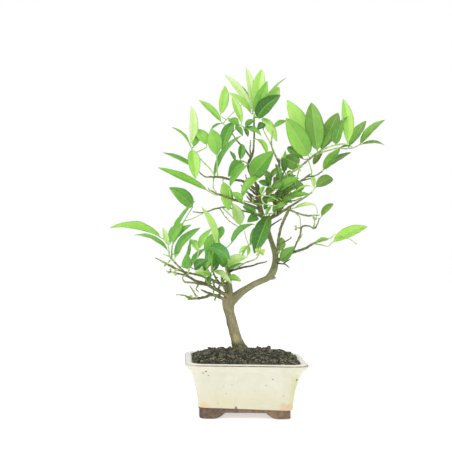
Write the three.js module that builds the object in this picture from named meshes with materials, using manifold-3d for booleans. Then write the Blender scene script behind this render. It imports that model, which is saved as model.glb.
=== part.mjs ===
// A limequat bonsai that stands in the soil of a glazed rectangular pot.
// Millimetres, +Z up, +X to the right, and the side that the bonsai is looked at from is -Y.
import * as THREE from 'three';
import { mergeVertices } from 'three/addons/utils/BufferGeometryUtils.js';
import Module from 'manifold-3d';

const wasm = await Module();
wasm.setup();

// Gap that neighbouring pieces keep
const CLEARANCE = 0.3;

// Pot: how far its middle is to the right of the rows' zero, its half-lengths at each height, and how
// much shorter the half-depth is
const POT_SHIFT = 1.8;
const RIM_HALF_LENGTH = 91.5;
const RIM_HEIGHT = 83.6;
const LENGTH_OVER_DEPTH = 26;
const BAND_HEIGHT = 14.6;
const POT_PROFILE = [
  [0, 66.9], [1.2, 68.1], [BAND_HEIGHT, 68.1], [16, 70.5], [23, 71.2], [30, 71.9], [45, 74.9], [54, 77.4],
  [60, 79], [65, 81], [70, 84.3], [73, 87.1], [76, 89.4], [78.6, 90.8], [80.4, RIM_HALF_LENGTH],
  [82, 91.2], [82.8, 89.6], [RIM_HEIGHT, 85.5],
];
const POT_FLOOR = 17;
const CAVITY_PROFILE = [
  [POT_FLOOR, 58.8], [19, 61.3], [24, 63.3], [42, 67.3], [60, 71.3], [70, 75], [78, 79.2], [81, 80.5],
  [RIM_HEIGHT, 81],
];
// The outside corners' radius in plan, from the foot band to the rim, and how much less it is inside
const CORNER_RADIUS = { band: 9, rim: 22, lessInside: 5 };
const CORNER_STEPS = 5;
const FOOT_HEIGHT = 9;
const FOOT_RECESS = { halfLength: 54, halfDepth: 28 };
const FRONT_ARCH = { foot: 48.5, crown: 30.3 };
const SIDE_ARCH = { foot: 25, crown: 13 };
const DRAIN_HOLE = { x: 35, radius: 7 };
const DRAIN_MESH = { side: 22, thickness: 0.8, holes: 3, hole: 4, pitch: 6 };

// Soil: it fills the pot and is heaped above the rim
const SOIL_EDGE_HEIGHT = 82.3;
const SOIL_HEAP = 11.3;
const SOIL_HEAP_LEFT_END = 76;
const SOIL_TOP_RINGS = 7;
const SOIL_PLAN_STEPS = 6;

// The point that the bonsai's outline was measured from: rows below give x and z as seen from it on
// the plane y = 0, and y as the real depth behind (+) or in front of (-) that plane
const EYE = new THREE.Vector3(-100.7, -1132.3, 278);

// Leaf blade sections
const BLADE_STATIONS = [0.15, 0.38, 0.63, 0.86];
const BLADE_HALF_THICKNESS = 0.65;
const PETIOLE_HALF_WIDTH = 0.6;
const SHORT_STALK = 2;
const USUAL_SWELL = 0.85;
const BLADE_FOLD = 0.3;

// Woody limbs, each a row of [x, z, y, radius] from its foot to its end
const LIMBS = {
  trunk: [
    [-3, 62, 0, 12], [-5, 88, 0, 11.5], [-6.5, 99, 0, 10.5], [-10.8, 110, 0, 9.2], [-14, 121, 0, 8],
    [-17, 131, 0, 7.8], [-19.8, 141, 0, 7.7], [-22.4, 151, 0, 7.8], [-24.6, 160, 0, 9],
    [-25.5, 168, 0, 9.6],
    [-25, 177, 1, 7.2], [-24.5, 187, 3, 5.6], [-25, 198, 4, 4.4], [-26, 210, 4, 3.7], [-28, 221, 6, 2.8],
  ],
  rightLimb: [
    [-25, 163, 0, 7.5], [-15, 175.5, 0, 6.9], [-5, 184, -1, 5.8], [5, 191, -3, 5], [15, 197, -4, 4.6],
    [25, 201.5, -4, 4.5], [34, 206, -4, 4.9], [41, 214, -3, 5.8], [45, 225, -1, 5.2], [46, 236, 0, 4.7],
    [44.5, 246, 3, 4.3], [41, 257, 7, 3.9], [37.5, 267, 12, 3.7], [33, 280, 14, 3.6], [27, 294, 16, 3.8],
    [22, 307, 16, 4], [19, 321, 14, 3.9], [17, 335, 13, 3.6], [16, 347, 12, 2.8],
  ],
  kneeSpur: [[38, 207, -4, 3.6], [43, 206.5, -7, 2.6], [46, 207, -9, 1.6]],
  crownRight: [
    [19, 318, 14, 3.2], [29, 331, 6, 2.8], [39, 346, 0, 2.4], [45, 362, -1, 2.2], [48, 376, 0, 2.3],
    [48.5, 389, 0, 2],
  ],
  crownTop: [
    [17, 338, 13, 2.8], [12, 352, 20, 2.3], [4, 366, 26, 2], [0, 379, 29, 1.9], [5, 391, 30, 2.2],
    [8, 404, 29, 1.4], [8.5, 422, 26, 1.3], [8, 441, 23, 1.2], [8, 455, 22, 1.1],
  ],
  crownShoot: [[5, 391, 30, 1.2], [3, 402, 25, 1.1], [3, 414, 20, 0.9]],
  upperLeft: [
    [4, 391, 30, 1.4], [-6, 403, 41, 1.3], [-18, 416, 49, 1.2],
  ],
  leftMid: [
    [17, 338, 13, 2.4], [5, 347, 0, 2], [-8, 354, -14, 1.8], [-25, 356, -29, 1.6], [-42, 359, -44, 1.5],
    [-55, 359, -55, 1.3], [-64, 359, -61, 1], [-70, 362, -65, 0.9], [-77, 369, -68, 0.8],
  ],
  leftLowMid: [
    [19, 312, 14, 2.2], [8, 316, -9, 1.8], [-5, 320, -23, 1.6], [-20, 325, -38, 1.5], [-38, 331, -52, 1.4],
    [-50, 335, -62, 1.2], [-58, 339, -70, 0.9],
  ],
  whisker: [
    [24, 300, 14, 1.8], [5, 306, 29, 1.5], [-15, 310, 38, 1.3], [-38, 313, 44, 1.2], [-50, 310, 45, 1.2],
    [-60, 306, 46, 1.1], [-70, 304, 48, 1], [-80, 305, 49, 0.8],
  ],
  longRight: [
    [42, 354, -1, 1.8], [50, 358, -8, 1.6], [62, 367, -16, 1.5], [75, 374, -25, 1.5], [85, 382, -32, 1.4],
  ],
  rightDark: [
    [29, 331, 6, 2.4], [40, 331, 5, 2.2], [50, 334, 8, 2.1], [60, 340, 14, 1.9], [70, 347, 22, 1.7],
    [82, 356, 35, 1.4], [96, 367, 51, 1.1],
  ],
  rightDarkSide: [[84, 357.6, 37, 1.3], [90, 359, 48, 1.1], [98, 361, 60, 1]],
  rightDarkFront: [[92, 363.9, 46.4, 1.2], [100, 364, 36, 1.1], [108, 367, 27, 1], [115, 372, 18, 0.9]],
  rightMid: [
    [27, 294, 14, 2.4], [36, 298, 3, 2.2], [45, 302, -9, 2], [55, 309, -20, 1.8], [64, 315, -29, 1.7],
    [76, 323, -38, 1.4], [88, 331, -46, 1.2], [98, 338, -52, 1],
  ],
  clusterTwig: [[30, 332, 6, 2], [42, 334, -3, 1.8]],
  rightLow: [
    [46, 230, -1, 2.6], [56, 238, -14, 2.3], [68, 245, -28, 2], [80, 249, -39, 1.8], [92, 253, -49, 1.7],
    [101, 259, -57, 1.6],
  ],
  zigzag: [
    [72, 246, -32, 1.3], [76, 256, -17, 1.2], [81, 267, -6, 1.2], [84, 277, 3, 1.2], [85, 285, 9, 1.3],
    [95, 288, 17, 1.1], [106, 284.5, 26, 1.2], [110, 292, 30, 0.9], [111.5, 297, 32, 0.8],
  ],
  zigzagSpur: [[85, 284, 9, 0.9], [79, 284.5, 3, 0.7]],
  riser: [
    [44, 220, -4, 2.4], [47, 236, -20, 2.2], [49, 254, -29, 2], [50.5, 272, -35, 1.9],
    [54.5, 288, -38, 1.9], [60, 302, -38, 2.1], [65, 312, -36, 1.9], [68, 318, -35, 1.4],
  ],
  rightFlat: [
    [65, 312, -36, 1.3], [75, 308, -46, 1.2], [85, 305, -55, 1.1], [93, 303.5, -62, 1.3],
    [104, 304, -71, 0.9], [112, 304.5, -77, 0.7],
  ],
  deadTwigLow: [[46, 229, -3, 1.1], [54, 229, -9, 1], [60, 228, -13, 0.9], [66, 224, -17, 0.7]],
  deadTwigMid: [[33, 283, 13, 1.2], [42, 290, 20, 1], [53, 297, 26, 0.8]],
  deadTwigRiser: [[49, 257, -30, 1.1], [57, 261, -38, 0.9], [68, 267, -44, 0.7]],
  lowLeft: [
    [-30, 171, -6, 3.2], [-38, 175.5, -13, 2.5], [-50, 179, -23, 2.1], [-62, 175, -33, 1.9],
    [-73, 173, -42, 1.7],
    [-84, 173, -49, 1.5], [-92, 177, -58, 1], [-102, 178, -64, 0.7],
  ],
  lowLeftTwig: [[-73, 174, -42, 1.1], [-79, 183, -48, 1], [-84, 191, -52, 0.8]],
  lowLeftFork: [[-50, 179, -23, 1.7], [-58, 182.5, -17, 1.5], [-66, 185.5, -13, 1.2]],
  leftBough: [
    [-26, 177, -3, 3.4], [-38, 184, -12, 2.7], [-50, 190, -19, 2.3], [-62, 196, -25, 2],
    [-76, 200, -29, 1.8],
    [-88, 207, -32, 1.7], [-97, 216, -35, 1.5],
  ],
  leftBoughBack: [
    [-25, 188, 4, 2.6], [-40, 197, 17, 2.2], [-55, 203, 32, 1.9], [-70, 208, 45, 1.7], [-85, 211, 55, 1.6],
    [-97, 214, 64, 1.5], [-108, 218, 71, 1.7], [-118, 223.5, 78, 1.6], [-127, 228, 84, 1.1],
    [-138, 233, 90, 0.7],
  ],
  leftBoughFork: [
    [-58, 194, -23, 1.6], [-70, 195, -35, 1.4], [-82, 197, -45, 1.3], [-94, 199, -55, 1.1],
    [-96, 204, -58, 0.8],
    [-92, 208, -61, 0.7],
  ],
  leftBoughSide: [
    [-88, 207, -32, 1.4], [-100, 209.5, -44, 1.2], [-109, 211.5, -52, 1.2], [-118, 213, -59, 0.8],
  ],
  leaderTwig: [[-26, 206, 4, 1.6], [-33, 208, 14, 1.3], [-40, 213, 26, 1], [-46, 219, 35, 0.8]],
  leaderTwigFront: [[-28, 196, 4, 1.8], [-34, 199, -9, 1.4], [-35, 207, -17, 1.1], [-36, 214, -23, 0.9]],
  crossTwig: [
    [-26, 214, 4, 1.8], [-14, 219, -4, 1.5], [-5, 221.5, -9, 1.4], [8, 224, -13, 1.2],
    [20, 228, -17, 1.1], [30, 230.5, -20, 0.8],
  ],
};

// Leafy sprays. A stem is a row of [x, z, y, radius]. A leaf is [base x, base z, tip x, tip z, depth from
// base to tip, width, roll in degrees, arch]: roll 0 faces the viewer, 90 faces up; arch lifts its middle.
// A ninth value is for a leaf that is widest further out than the others.
const SPRAYS = {
  left_tip: {
    stems: [
      [
        [-97, 216, -35, 1.5], [-108, 227, -38, 1.4], [-116, 236, -41, 1.2], [-118, 247, -42, 1],
        [-119, 254, -44, 0.9],
      ],
      [[-116, 236, -41, 1], [-126, 239, -44, 0.7]],
      [
        [-113, 232, -39, 1.2], [-113, 250, -14, 1.1], [-108, 268, 7, 1], [-96, 290, 26, 0.9],
        [-84, 311, 41, 0.8],
      ],
      [[-96, 290, 26, 0.7], [-80, 296, 32, 0.6], [-67, 303, 35, 0.6]],
    ],
    leaves: [
      [-130, 264, -208, 277, -14, 22, 55, 10], [-119, 244, -172, 267, 24, 15, 70, 8],
      [-120, 253, -128, 281, -22, 9, 20, 3],
      [-116, 256, -97, 287, 26, 17, 30, 4], [-112, 257, -84, 285, -24, 13, 40, 5],
      [-109, 240, -70, 281, -41, 16, 45, 7],
      [-108, 234, -97, 258, 26, 10, 20, 3], [-96, 224, -86, 266, 30, 12, 62, 3],
      [-112, 262, -79, 322, 12, 20, 66, 4],
      [-83, 313, -120, 341, -22, 24, 20, 6],
    ],
  },
  left_inner: {
    stems: [
      [[-88, 208, -32, 1.3], [-87, 214, -44, 1.1], [-84, 222, -55, 1]],
      [[-84, 222, -55, 0.9], [-76, 232, -61, 0.8], [-72, 246, -67, 0.8]],
    ],
    leaves: [
      [-91, 219, -90, 243, -31, 15, 10, 4], [-84, 221, -60, 250, 29, 12, 50, 4],
      [-78, 218, -57, 232, -29, 15, 30, 4],
      [-72, 250, -53, 280, -26, 12, 30, 4], [-72, 244, -86, 263, 24, 12, 25, 3],
    ],
  },
  left_center: {
    stems: [
      [[-40, 197, 17, 1.8], [-48, 210, 0, 1.4], [-52, 224, -20, 1.2], [-52, 240, -26, 1]],
      [[-52, 240, -26, 0.9], [-45, 250, -29, 0.8], [-43, 262, -32, 0.7]],
    ],
    leaves: [
      [-53, 228, -50, 274, 31, 25, -12, 6], [-57, 252, -24, 233, -29, 20, 28, 6],
      [-57, 250, -60, 218, -12, 12, 20, 4],
      [-45, 250, -70, 313, -17, 13, 40, 6], [-44, 262, -37, 284, 14, 12, 15, 3],
      [-42, 262, -39, 247, 14, 8, 20, 2],
      [-52, 209, -78, 212, -26, 15, 35, 4], [-50, 216, -21, 196, -42, 13, 40, 5],
      [-58, 193, -52, 211, -19, 11, 15, 3],
    ],
  },
  leader_top: {
    stems: [
      [
        [-27, 214, 4, 1.8], [-31, 224, 0, 1.3], [-36, 236, -6, 1.1], [-34, 246, -12, 1],
        [-24, 257, -14, 0.9],
      ],
    ],
    leaves: [
      [-24, 257, 14, 288, 19, 15, 52, 9], [-32, 224, 4, 238, -34, 18, 35, 4],
    ],
  },
  leader_back: {
    stems: [[[-27, 214, 4, 1.6], [-29, 214, 16, 0.9]]],
    leaves: [[-29, 214, -3, 228, 17, 12, 50, 3]],
  },
  leader_front: {
    stems: [[[-25, 202, 4, 1.6], [-32, 202.5, -9, 0.9]]],
    leaves: [[-33, 202, -6, 200, -26, 14, 40, 3]],
  },
  bud_twig: {
    stems: [
      [
        [-14, 220, -4, 1.2], [0, 229, -17, 1.1], [16, 235.5, -32, 1], [19, 240, -42, 0.8],
        [21.5, 244, -49, 0.7],
      ],
    ],
    leaves: [[22, 245, 15, 251, 5, 6, 10, 1], [22, 245, 30, 250, -5, 6, 10, 1]],
  },
  left_arrow: {
    stems: [[[-42, 332, -55, 1.2], [-50, 332, -61, 1], [-58, 336, -67, 0.9]]],
    leaves: [[-61, 338, -138, 371, -19, 15, 50, 1]],
  },
  left_fan: {
    stems: [
      [
        [-50, 360, -49, 1.1], [-56, 369, -55, 1], [-68, 381, -61, 0.95], [-80, 393, -67, 0.9],
        [-87, 402, -70, 0.9],
        [-89, 407, -71, 0.8],
      ],
    ],
    leaves: [
      [-88, 406, -89, 467, 17, 14, 30, 5], [-89, 405, -118, 433, -26, 11, 65, 4],
      [-88, 401, -80, 355, -12, 18, 12, 5],
      [-64, 408, -82, 431, 12, 18, 25, 4], [-84, 404, -74, 422, 10, 11, 30, 3],
    ],
  },
  left_mid_tip: {
    stems: [[[-76, 368, -68, 0.8], [-79, 371, -70, 0.7]]],
    leaves: [[-80, 372, -131, 394, 7, 11, 50, 2]],
  },
  left_mid_top: {
    stems: [[[-46, 359, -46, 1.1], [-47, 374, -49, 0.9], [-48, 388, -52, 0.8]]],
    leaves: [[-48, 391, -58, 433, -24, 22, 8, 5, 1.3], [-51, 360, -10, 424, 24, 13, 55, 9]],
  },
  left_hang: {
    stems: [[[-36, 357, -38, 1], [-38, 354, -41, 0.9]]],
    leaves: [[-38, 353, -28, 308, 14, 20, 18, 4]],
  },
  left_low_leaf: {
    stems: [[[-26, 328, -42, 1], [-28, 343, -44, 0.8]]],
    leaves: [[-28, 343, 0, 379, -19, 14, 50, 6]],
  },
  crown_left: {
    stems: [[[1, 380, 29, 1.3], [-6, 384, 20, 1.1], [-12, 385, 12, 1], [-20, 383, 6, 0.8]]],
    leaves: [
      [-9, 383, -30, 360, -22, 20, 15, 4], [-12, 384, -10, 411, 17, 12, 10, 3],
      [-19, 383, -29, 400, 12, 8, 40, 2],
    ],
  },
  whisker_leaf: {
    stems: [[[-38, 313, 44, 1], [-25, 301, 41, 0.9], [-12, 289, 36, 0.9], [-8, 285, 35, 0.8]]],
    leaves: [[-8, 286, -23, 320, -14, 18, 12, 4]],
  },
  upper_left: {
    stems: [
      [[-18, 416, 49, 1.2], [-26, 427, 55, 1.1], [-36, 438, 61, 1], [-41, 442, 64, 0.9]],
      [[-40, 441, 62, 0.8], [-28, 455, 58, 0.7], [-14, 469, 52, 0.7], [-3, 480, 46, 0.6]],
      [[-26, 427, 55, 0.8], [-19, 435, 61, 0.7], [-14, 440, 65, 0.7]],
    ],
    leaves: [
      [-43, 444, -78, 476, 17, 14, 40, 4], [-44, 455, -38, 500, 10, 16, 8, 4],
      [-42, 441, -58, 431, -24, 8, 60, 2],
      [-25, 444, -40, 399, -26, 19, 15, 4], [-13, 441, -33, 447, -17, 13, 25, 3],
    ],
  },
  top_left: {
    stems: [[[8, 430, 25, 1.1], [0, 434, 32, 1], [-10, 438, 41, 1], [-14, 440, 44, 0.9]]],
    leaves: [
      [-11, 443, -27, 483, 19, 13, 25, 4], [-6, 437, 10, 448, -22, 11, 30, 3],
      [-6, 436, 20, 424, -40, 12, 45, 4],
      [-20, 438, -9, 423, -17, 10, 25, 3], [-8, 435, -1, 422, 12, 8, 30, 2],
    ],
  },
  crown_side: {
    stems: [[[8, 418, 26, 1.1], [11, 420, 20, 0.8]]],
    leaves: [[11, 420, 29, 396, -19, 11, 45, 5]],
  },
  top: {
    stems: [[[8, 452, 22, 1.1], [10, 462, 19, 0.9], [16, 470, 14, 0.8], [24, 480, 9, 0.7]]],
    leaves: [
      [6, 458, -7, 530, 22, 15, 35, 6], [11, 466, 18, 526, 31, 19, -5, 5],
      [10, 456, 27, 509, -19, 19, 10, 5],
      [12, 452, 48, 488, -36, 24, 20, 6], [24, 468, 45, 501, 24, 18, 12, 4],
      [28, 482, 57, 515, 31, 8, 62, 3],
      [5, 458, -12, 500, 26, 9, 70, 3], [3, 466, -39, 516, -7, 13, 35, 6],
      [3, 458, -34, 489, -31, 13, 45, 5],
      [20, 452, 44, 416, -19, 15, 20, 6],
    ],
  },
  top_right: {
    stems: [
      [
        [47, 385, 0, 1.5], [41, 397, -12, 1.3], [35.5, 411, -20, 1.3], [36, 425, -26, 1.1],
        [37.5, 438, -32, 1],
        [33, 447, -35, 0.8],
      ],
      [[35, 411, -20, 1], [28, 423, -29, 0.9], [22, 434, -38, 0.8]],
      [[43.5, 392, -7, 0.9], [50, 388, -10, 0.7]],
    ],
    leaves: [
      [24, 443, 13, 433, -14, 11, 20, 2], [39, 436, 57, 449, 17, 10, 35, 3],
      [53, 388, 57, 403, -5, 6, 25, 2],
    ],
  },
  crown_front: {
    stems: [[[13, 350, 19, 1.4], [10, 358, 9, 1], [14, 363, 0, 0.8]]],
    leaves: [[20, 362, -9, 327, -24, 17, 40, 9], [6, 361, 40, 402, -41, 29, 15, 6]],
  },
  center_hang: {
    stems: [[[24, 301, 13, 1.6], [28, 304, 3, 1.1], [36, 305, -6, 0.9]]],
    leaves: [[37, 305, 13, 243, -26, 24, 14, 6, 1], [42, 307, 55, 318, -6, 6, 30, 2]],
  },
  center_back: {
    stems: [[[22, 307, 12, 1.4], [16, 304, 3, 0.9]]],
    leaves: [[14, 306, -6, 316, 14, 13, 20, 3], [16, 300, 1, 291, -14, 14, 15, 3]],
  },
  small_center: {
    stems: [
      [[36, 270, 12, 1.4], [26, 263, 0, 1.1], [14, 259, -12, 1], [4, 256, -20, 0.9]],
      [[4, 256, -20, 0.7], [0, 266, -17, 0.6], [-3, 277, -14, 0.6]],
    ],
    leaves: [
      [3, 256, -10, 240, -17, 8, 45, 2], [3, 255, -5, 238, 14, 8, 50, 2], [4, 255, 2, 239, -22, 7, 30, 2],
      [5, 258, 12, 283, 19, 9, 20, 3], [6, 257, 16, 262, 10, 7, 40, 2],
    ],
  },
  right_bough: {
    stems: [
      [
        [85, 382, -32, 1.4], [95, 391, -39, 1.5], [101, 396, -42, 1.6], [109, 402, -48, 1.4],
        [120, 408, -55, 1.2], [133, 413, -62, 1.1], [146, 415.5, -68, 1], [155, 415, -74, 0.8],
      ],
      [
        [100, 396, -42, 1.3], [112, 401, -38, 1.2], [125, 405, -32, 1.1], [140, 409, -25, 1.1],
        [152, 408.5, -19, 1.1], [165, 411, -13, 1], [174, 416, -9, 0.8],
      ],
    ],
    leaves: [
      [93, 396, 57, 453, -26, 30, 12, 6], [94, 402, 58, 481, 19, 29, 18, 6],
      [107, 404, 96, 478, 7, 28, 6, 6],
      [111, 405, 138, 464, 26, 25, 18, 5], [112, 404, 154, 459, -26, 13, 42, 4],
      [113, 404, 129, 432, 36, 12, 20, 3],
      [116, 402, 101, 383, 17, 11, 30, 2], [134, 415, 146, 452, -19, 16, 20, 3],
      [154, 417, 145, 486, 12, 18, 20, 5],
      [140, 411, 161, 412, -22, 7, 50, 2], [156, 412, 182, 453, 24, 17, 25, 4],
      [172, 416, 212, 455, -17, 15, 35, 4],
      [175, 417, 212, 415, 26, 9, 60, 5],
    ],
  },
  right_pair: {
    stems: [[[108, 367, 27, 1], [114, 372, 22, 0.9], [119, 376, 20, 0.8]]],
    leaves: [[115, 374, 143, 409, -12, 17, 25, 4], [119, 376, 160, 403, 22, 12, 45, 4]],
  },
  right_dark_tip: {
    stems: [[[95, 366.2, 50, 1.3], [99, 369, 55, 1.1], [97, 378, 57, 0.9], [92, 391, 56, 0.8]]],
    leaves: [[99, 368, 103, 346, -4, 9, 25, 2], [86, 390, 60, 408, 10, 15, 20, 3, 1.3]],
  },
  right_mid_tip: {
    stems: [[[97, 337, -52, 1], [101, 342, -52, 0.8], [105, 347, -52, 0.8]]],
    leaves: [[105, 347, 132, 362, 19, 17, 22, 5]],
  },
  cluster: {
    stems: [
      [[42, 334, -3, 1.8], [54, 337, -12, 1.6], [66, 341, -20, 1.3], [72, 344, -26, 1]],
      [[48, 335, -7, 1.5], [52, 344, -17, 1.1], [55, 351, -25, 0.9]],
    ],
    leaves: [
      [76, 341, 101, 349, 17, 7, 55, 3], [57, 330, 97, 337, -29, 12, 45, 3],
      [50, 322, 74, 330, -34, 11, 35, 3], [62, 342, 86, 352, 20, 13, 30, 3],
      [47, 332, 30, 322, -22, 10, 35, 3], [48, 342, 80, 361, -30, 17, 25, 4],
      [50, 358, 42, 382, 6, 8, 25, 3],
      [56, 356, 38, 345, 6, 12, 20, 3], [44, 343, 48, 355, 2, 9, 20, 2], [55, 352, 75, 365, 6, 9, 35, 3],
    ],
  },
  cluster_left: {
    stems: [
      [[34, 332.6, 3, 1.5], [35, 335, -7, 1.1], [42, 341, -17, 0.8]],
      [[35, 335, -7, 1], [35, 329, -14, 0.8]],
      [
        [42, 341, -17, 0.8], [34, 346, -22, 0.9], [27, 339, -25, 0.9], [22, 330, -26, 0.9],
        [25, 322, -25, 0.9],
        [36, 318, -23, 0.8], [46, 318, -20, 0.7],
      ],
    ],
    leaves: [
      [39, 345, 29, 335, -10, 10, 20, 3], [34, 330, 23, 324, -10, 11, 15, 2],
      [21, 335, 26, 347, 6, 8, 25, 2],
      [38, 316, 30, 302, -5, 7, 30, 2], [34, 320, 26, 313, 8, 8, 25, 2],
    ],
  },
  cluster_top: {
    stems: [[[72, 348.5, 24, 1.2], [75, 357, 16, 1], [78, 369, 12, 0.9], [80, 380, 10, 0.8]]],
    leaves: [[79, 380, 53, 393, -14, 24, 12, 4, 1], [77, 360, 78, 339, -16, 11, 30, 3]],
  },
  right_low_tip: {
    stems: [
      [
        [101, 259, -57, 1.6], [112, 264, -64, 1.5], [124, 267, -71, 1.2], [131, 270, -75, 1],
        [138, 276, -78, 0.8],
      ],
      [[104, 260.5, -59, 1], [118, 258.5, -67, 0.8], [127, 257, -71, 0.7], [133, 263, -74, 0.7]],
      [[138, 276, -78, 0.75], [150, 272, -72, 0.7], [160, 269, -68, 0.65], [172, 261, -64, 0.6]],
    ],
    leaves: [[133, 264, 188, 289, 17, 18, 28, 4], [104, 262, 128, 268, -24, 10, 55, 2]],
  },
  zigzag_tip: {
    stems: [[[111, 296, 32, 0.8], [115, 302, 33, 0.7]]],
    leaves: [[115, 303, 134, 323, 17, 12, 35, 3]],
  },
  riser_leaf: {
    stems: [[[49, 243, -25, 1.2], [52, 246, -22, 0.8]]],
    leaves: [[52, 246, 55, 269, 14, 13, 20, 2]],
  },
  fork_leaf: {
    stems: [[[50, 233, -6, 1.6], [52.5, 232.5, -17, 0.9]]],
    leaves: [[53, 233, 76, 256, -26, 17, 22, 4]],
  },
  arc: {
    stems: [
      [
        [66, 313, -35, 1], [78, 316, -26, 0.8], [92, 321, -17, 0.8], [104, 321, -9, 0.7],
        [109, 312, -3, 0.7], [108, 299, 3, 0.6],
      ],
    ],
    leaves: [[72, 314, 106, 321, -19, 9, 50, 3]],
  },
};

const SPRAY_GREENS = { left_tip: 0x8cc850, left_fan: 0xa8dc66, top: 0x96d23c, right_bough: 0x6eb45a };
const LEAF_GREEN = 0x7dbe50;

// A surface through rings of equally many points, closed by fans to the two end points. Rings run
// anticlockwise about the direction of travel, and neighbouring faces have opposite diagonals.
function loft(rings, start, end) {
  const size = rings[0].length;
  const points = [start, ...rings.flat(), end];
  const triangles = [];
  const at = (ring, k) => 1 + ring * size + (k % size);
  for (let k = 0; k < size; k += 1) {
    triangles.push(0, at(0, k + 1), at(0, k));
    triangles.push(points.length - 1, at(rings.length - 1, k), at(rings.length - 1, k + 1));
  }
  for (let ring = 0; ring + 1 < rings.length; ring += 1) {
    for (let k = 0; k < size; k += 1) {
      const [a, b, c, d] = [at(ring, k), at(ring, k + 1), at(ring + 1, k + 1), at(ring + 1, k)];
      if (k % 2 === 0) triangles.push(a, b, c, a, c, d);
      else triangles.push(a, b, d, b, c, d);
    }
  }
  const geometry = new THREE.BufferGeometry().setFromPoints(points);
  geometry.setIndex(triangles);
  return geometry;
}

function solidOf(geometry) {
  geometry.deleteAttribute('normal');
  geometry.deleteAttribute('uv');
  const merged = mergeVertices(geometry, 1e-4);
  return new wasm.Manifold(new wasm.Mesh({
    numProp: 3,
    vertProperties: merged.attributes.position.array,
    triVerts: Uint32Array.from(merged.index.array),
  }));
}

function meshOf(solid, name, material) {
  const { vertProperties, triVerts } = solid.getMesh();
  const geometry = new THREE.BufferGeometry();
  geometry.setAttribute('position', new THREE.BufferAttribute(vertProperties, 3));
  geometry.setIndex(new THREE.BufferAttribute(triVerts, 1));
  geometry.computeVertexNormals();
  const mesh = new THREE.Mesh(geometry, material);
  mesh.name = name;
  return mesh;
}

function unionOf(solids) {
  return wasm.Manifold.union(solids);
}

// The largest body of a solid, without the scraps that a cut leaves
function mainBody(solid) {
  return solid.decompose().reduce((best, body) => (body.volume() > best.volume() ? body : best));
}

// The real point at depth y on the sight line through (x, z) of the plane y = 0
function seen(x, z, y) {
  return new THREE.Vector3(x, 0, z).sub(EYE).multiplyScalar((y - EYE.y) / -EYE.y).add(EYE);
}

// Pot

function shifted(solid) {
  return solid.translate([POT_SHIFT, 0, 0]);
}

// The outside corners' radius at a height
function cornerRadius(z) {
  const { band, rim } = CORNER_RADIUS;
  const rise = THREE.MathUtils.clamp((z - BAND_HEIGHT) / (RIM_HEIGHT - BAND_HEIGHT), 0, 1);
  return band + (rim - band) * rise ** 2;
}

function roundedRectangle(halfLength, halfDepth, radius, heightAt, steps = CORNER_STEPS) {
  const points = [];
  for (let corner = 0; corner < 4; corner += 1) {
    const sideX = corner === 0 || corner === 3 ? 1 : -1;
    const sideY = corner < 2 ? 1 : -1;
    for (let step = 0; step <= steps; step += 1) {
      const angle = (corner + step / steps) * Math.PI / 2;
      const x = sideX * (halfLength - radius) + radius * Math.cos(angle);
      const y = sideY * (halfDepth - radius) + radius * Math.sin(angle);
      points.push(new THREE.Vector3(x, y, heightAt(x, y)));
    }
  }
  return points;
}

function potLoft(profile, lessRadius = 0) {
  const rings = profile.map(([z, half]) => (
    roundedRectangle(half, half - LENGTH_OVER_DEPTH, cornerRadius(z) - lessRadius, () => z)
  ));
  const [bottom, top] = [profile[0][0], profile[profile.length - 1][0]];
  return solidOf(loft(rings, new THREE.Vector3(0, 0, bottom), new THREE.Vector3(0, 0, top)));
}

// A tunnel between two feet, whose sides curve up from the floor to its flat crown
function archSolid({ foot, crown }, length, turn) {
  const outline = new THREE.Shape();
  const below = -5;
  const bend = (foot + crown) / 2;
  outline.moveTo(-foot, below);
  outline.lineTo(foot, below);
  outline.lineTo(foot, 0);
  outline.quadraticCurveTo(bend, 0, crown, FOOT_HEIGHT);
  outline.lineTo(-crown, FOOT_HEIGHT);
  outline.quadraticCurveTo(-bend, 0, -foot, 0);
  const settings = { depth: length, bevelEnabled: false, curveSegments: 6 };
  const geometry = new THREE.ExtrudeGeometry(outline, settings);
  geometry.translate(0, 0, -length / 2).rotateX(Math.PI / 2).rotateZ(turn);
  return solidOf(geometry);
}

function boxSolid(sizeX, sizeY, sizeZ, x, y, z) {
  return solidOf(new THREE.BoxGeometry(sizeX, sizeY, sizeZ).translate(x, y, z));
}

function buildPot() {
  const acrossPot = 4 * RIM_HALF_LENGTH;
  const drainHoles = [-DRAIN_HOLE.x, DRAIN_HOLE.x].map((x) => {
    const cylinder = new THREE.CylinderGeometry(DRAIN_HOLE.radius, DRAIN_HOLE.radius, 4 * FOOT_HEIGHT, 16);
    return solidOf(cylinder.rotateX(Math.PI / 2).translate(x, 0, POT_FLOOR - FOOT_HEIGHT));
  });
  const recess = boxSolid(2 * FOOT_RECESS.halfLength, 2 * FOOT_RECESS.halfDepth, 2 * FOOT_HEIGHT, 0, 0, 0);
  const aboveRim = RIM_HEIGHT + 5;
  const openTop = [aboveRim, CAVITY_PROFILE.at(-1)[1]];
  const cavity = potLoft([...CAVITY_PROFILE, openTop], CORNER_RADIUS.lessInside);
  const frontTunnel = archSolid(FRONT_ARCH, acrossPot, 0);
  const sideTunnel = archSolid(SIDE_ARCH, acrossPot, Math.PI / 2);
  const cuts = [cavity, recess, frontTunnel, sideTunnel, ...drainHoles];
  return shifted(potLoft(POT_PROFILE).subtract(unionOf(cuts)));
}

// Drain meshes: a square plastic screen that lies on the pot's floor over each drain hole

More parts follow.
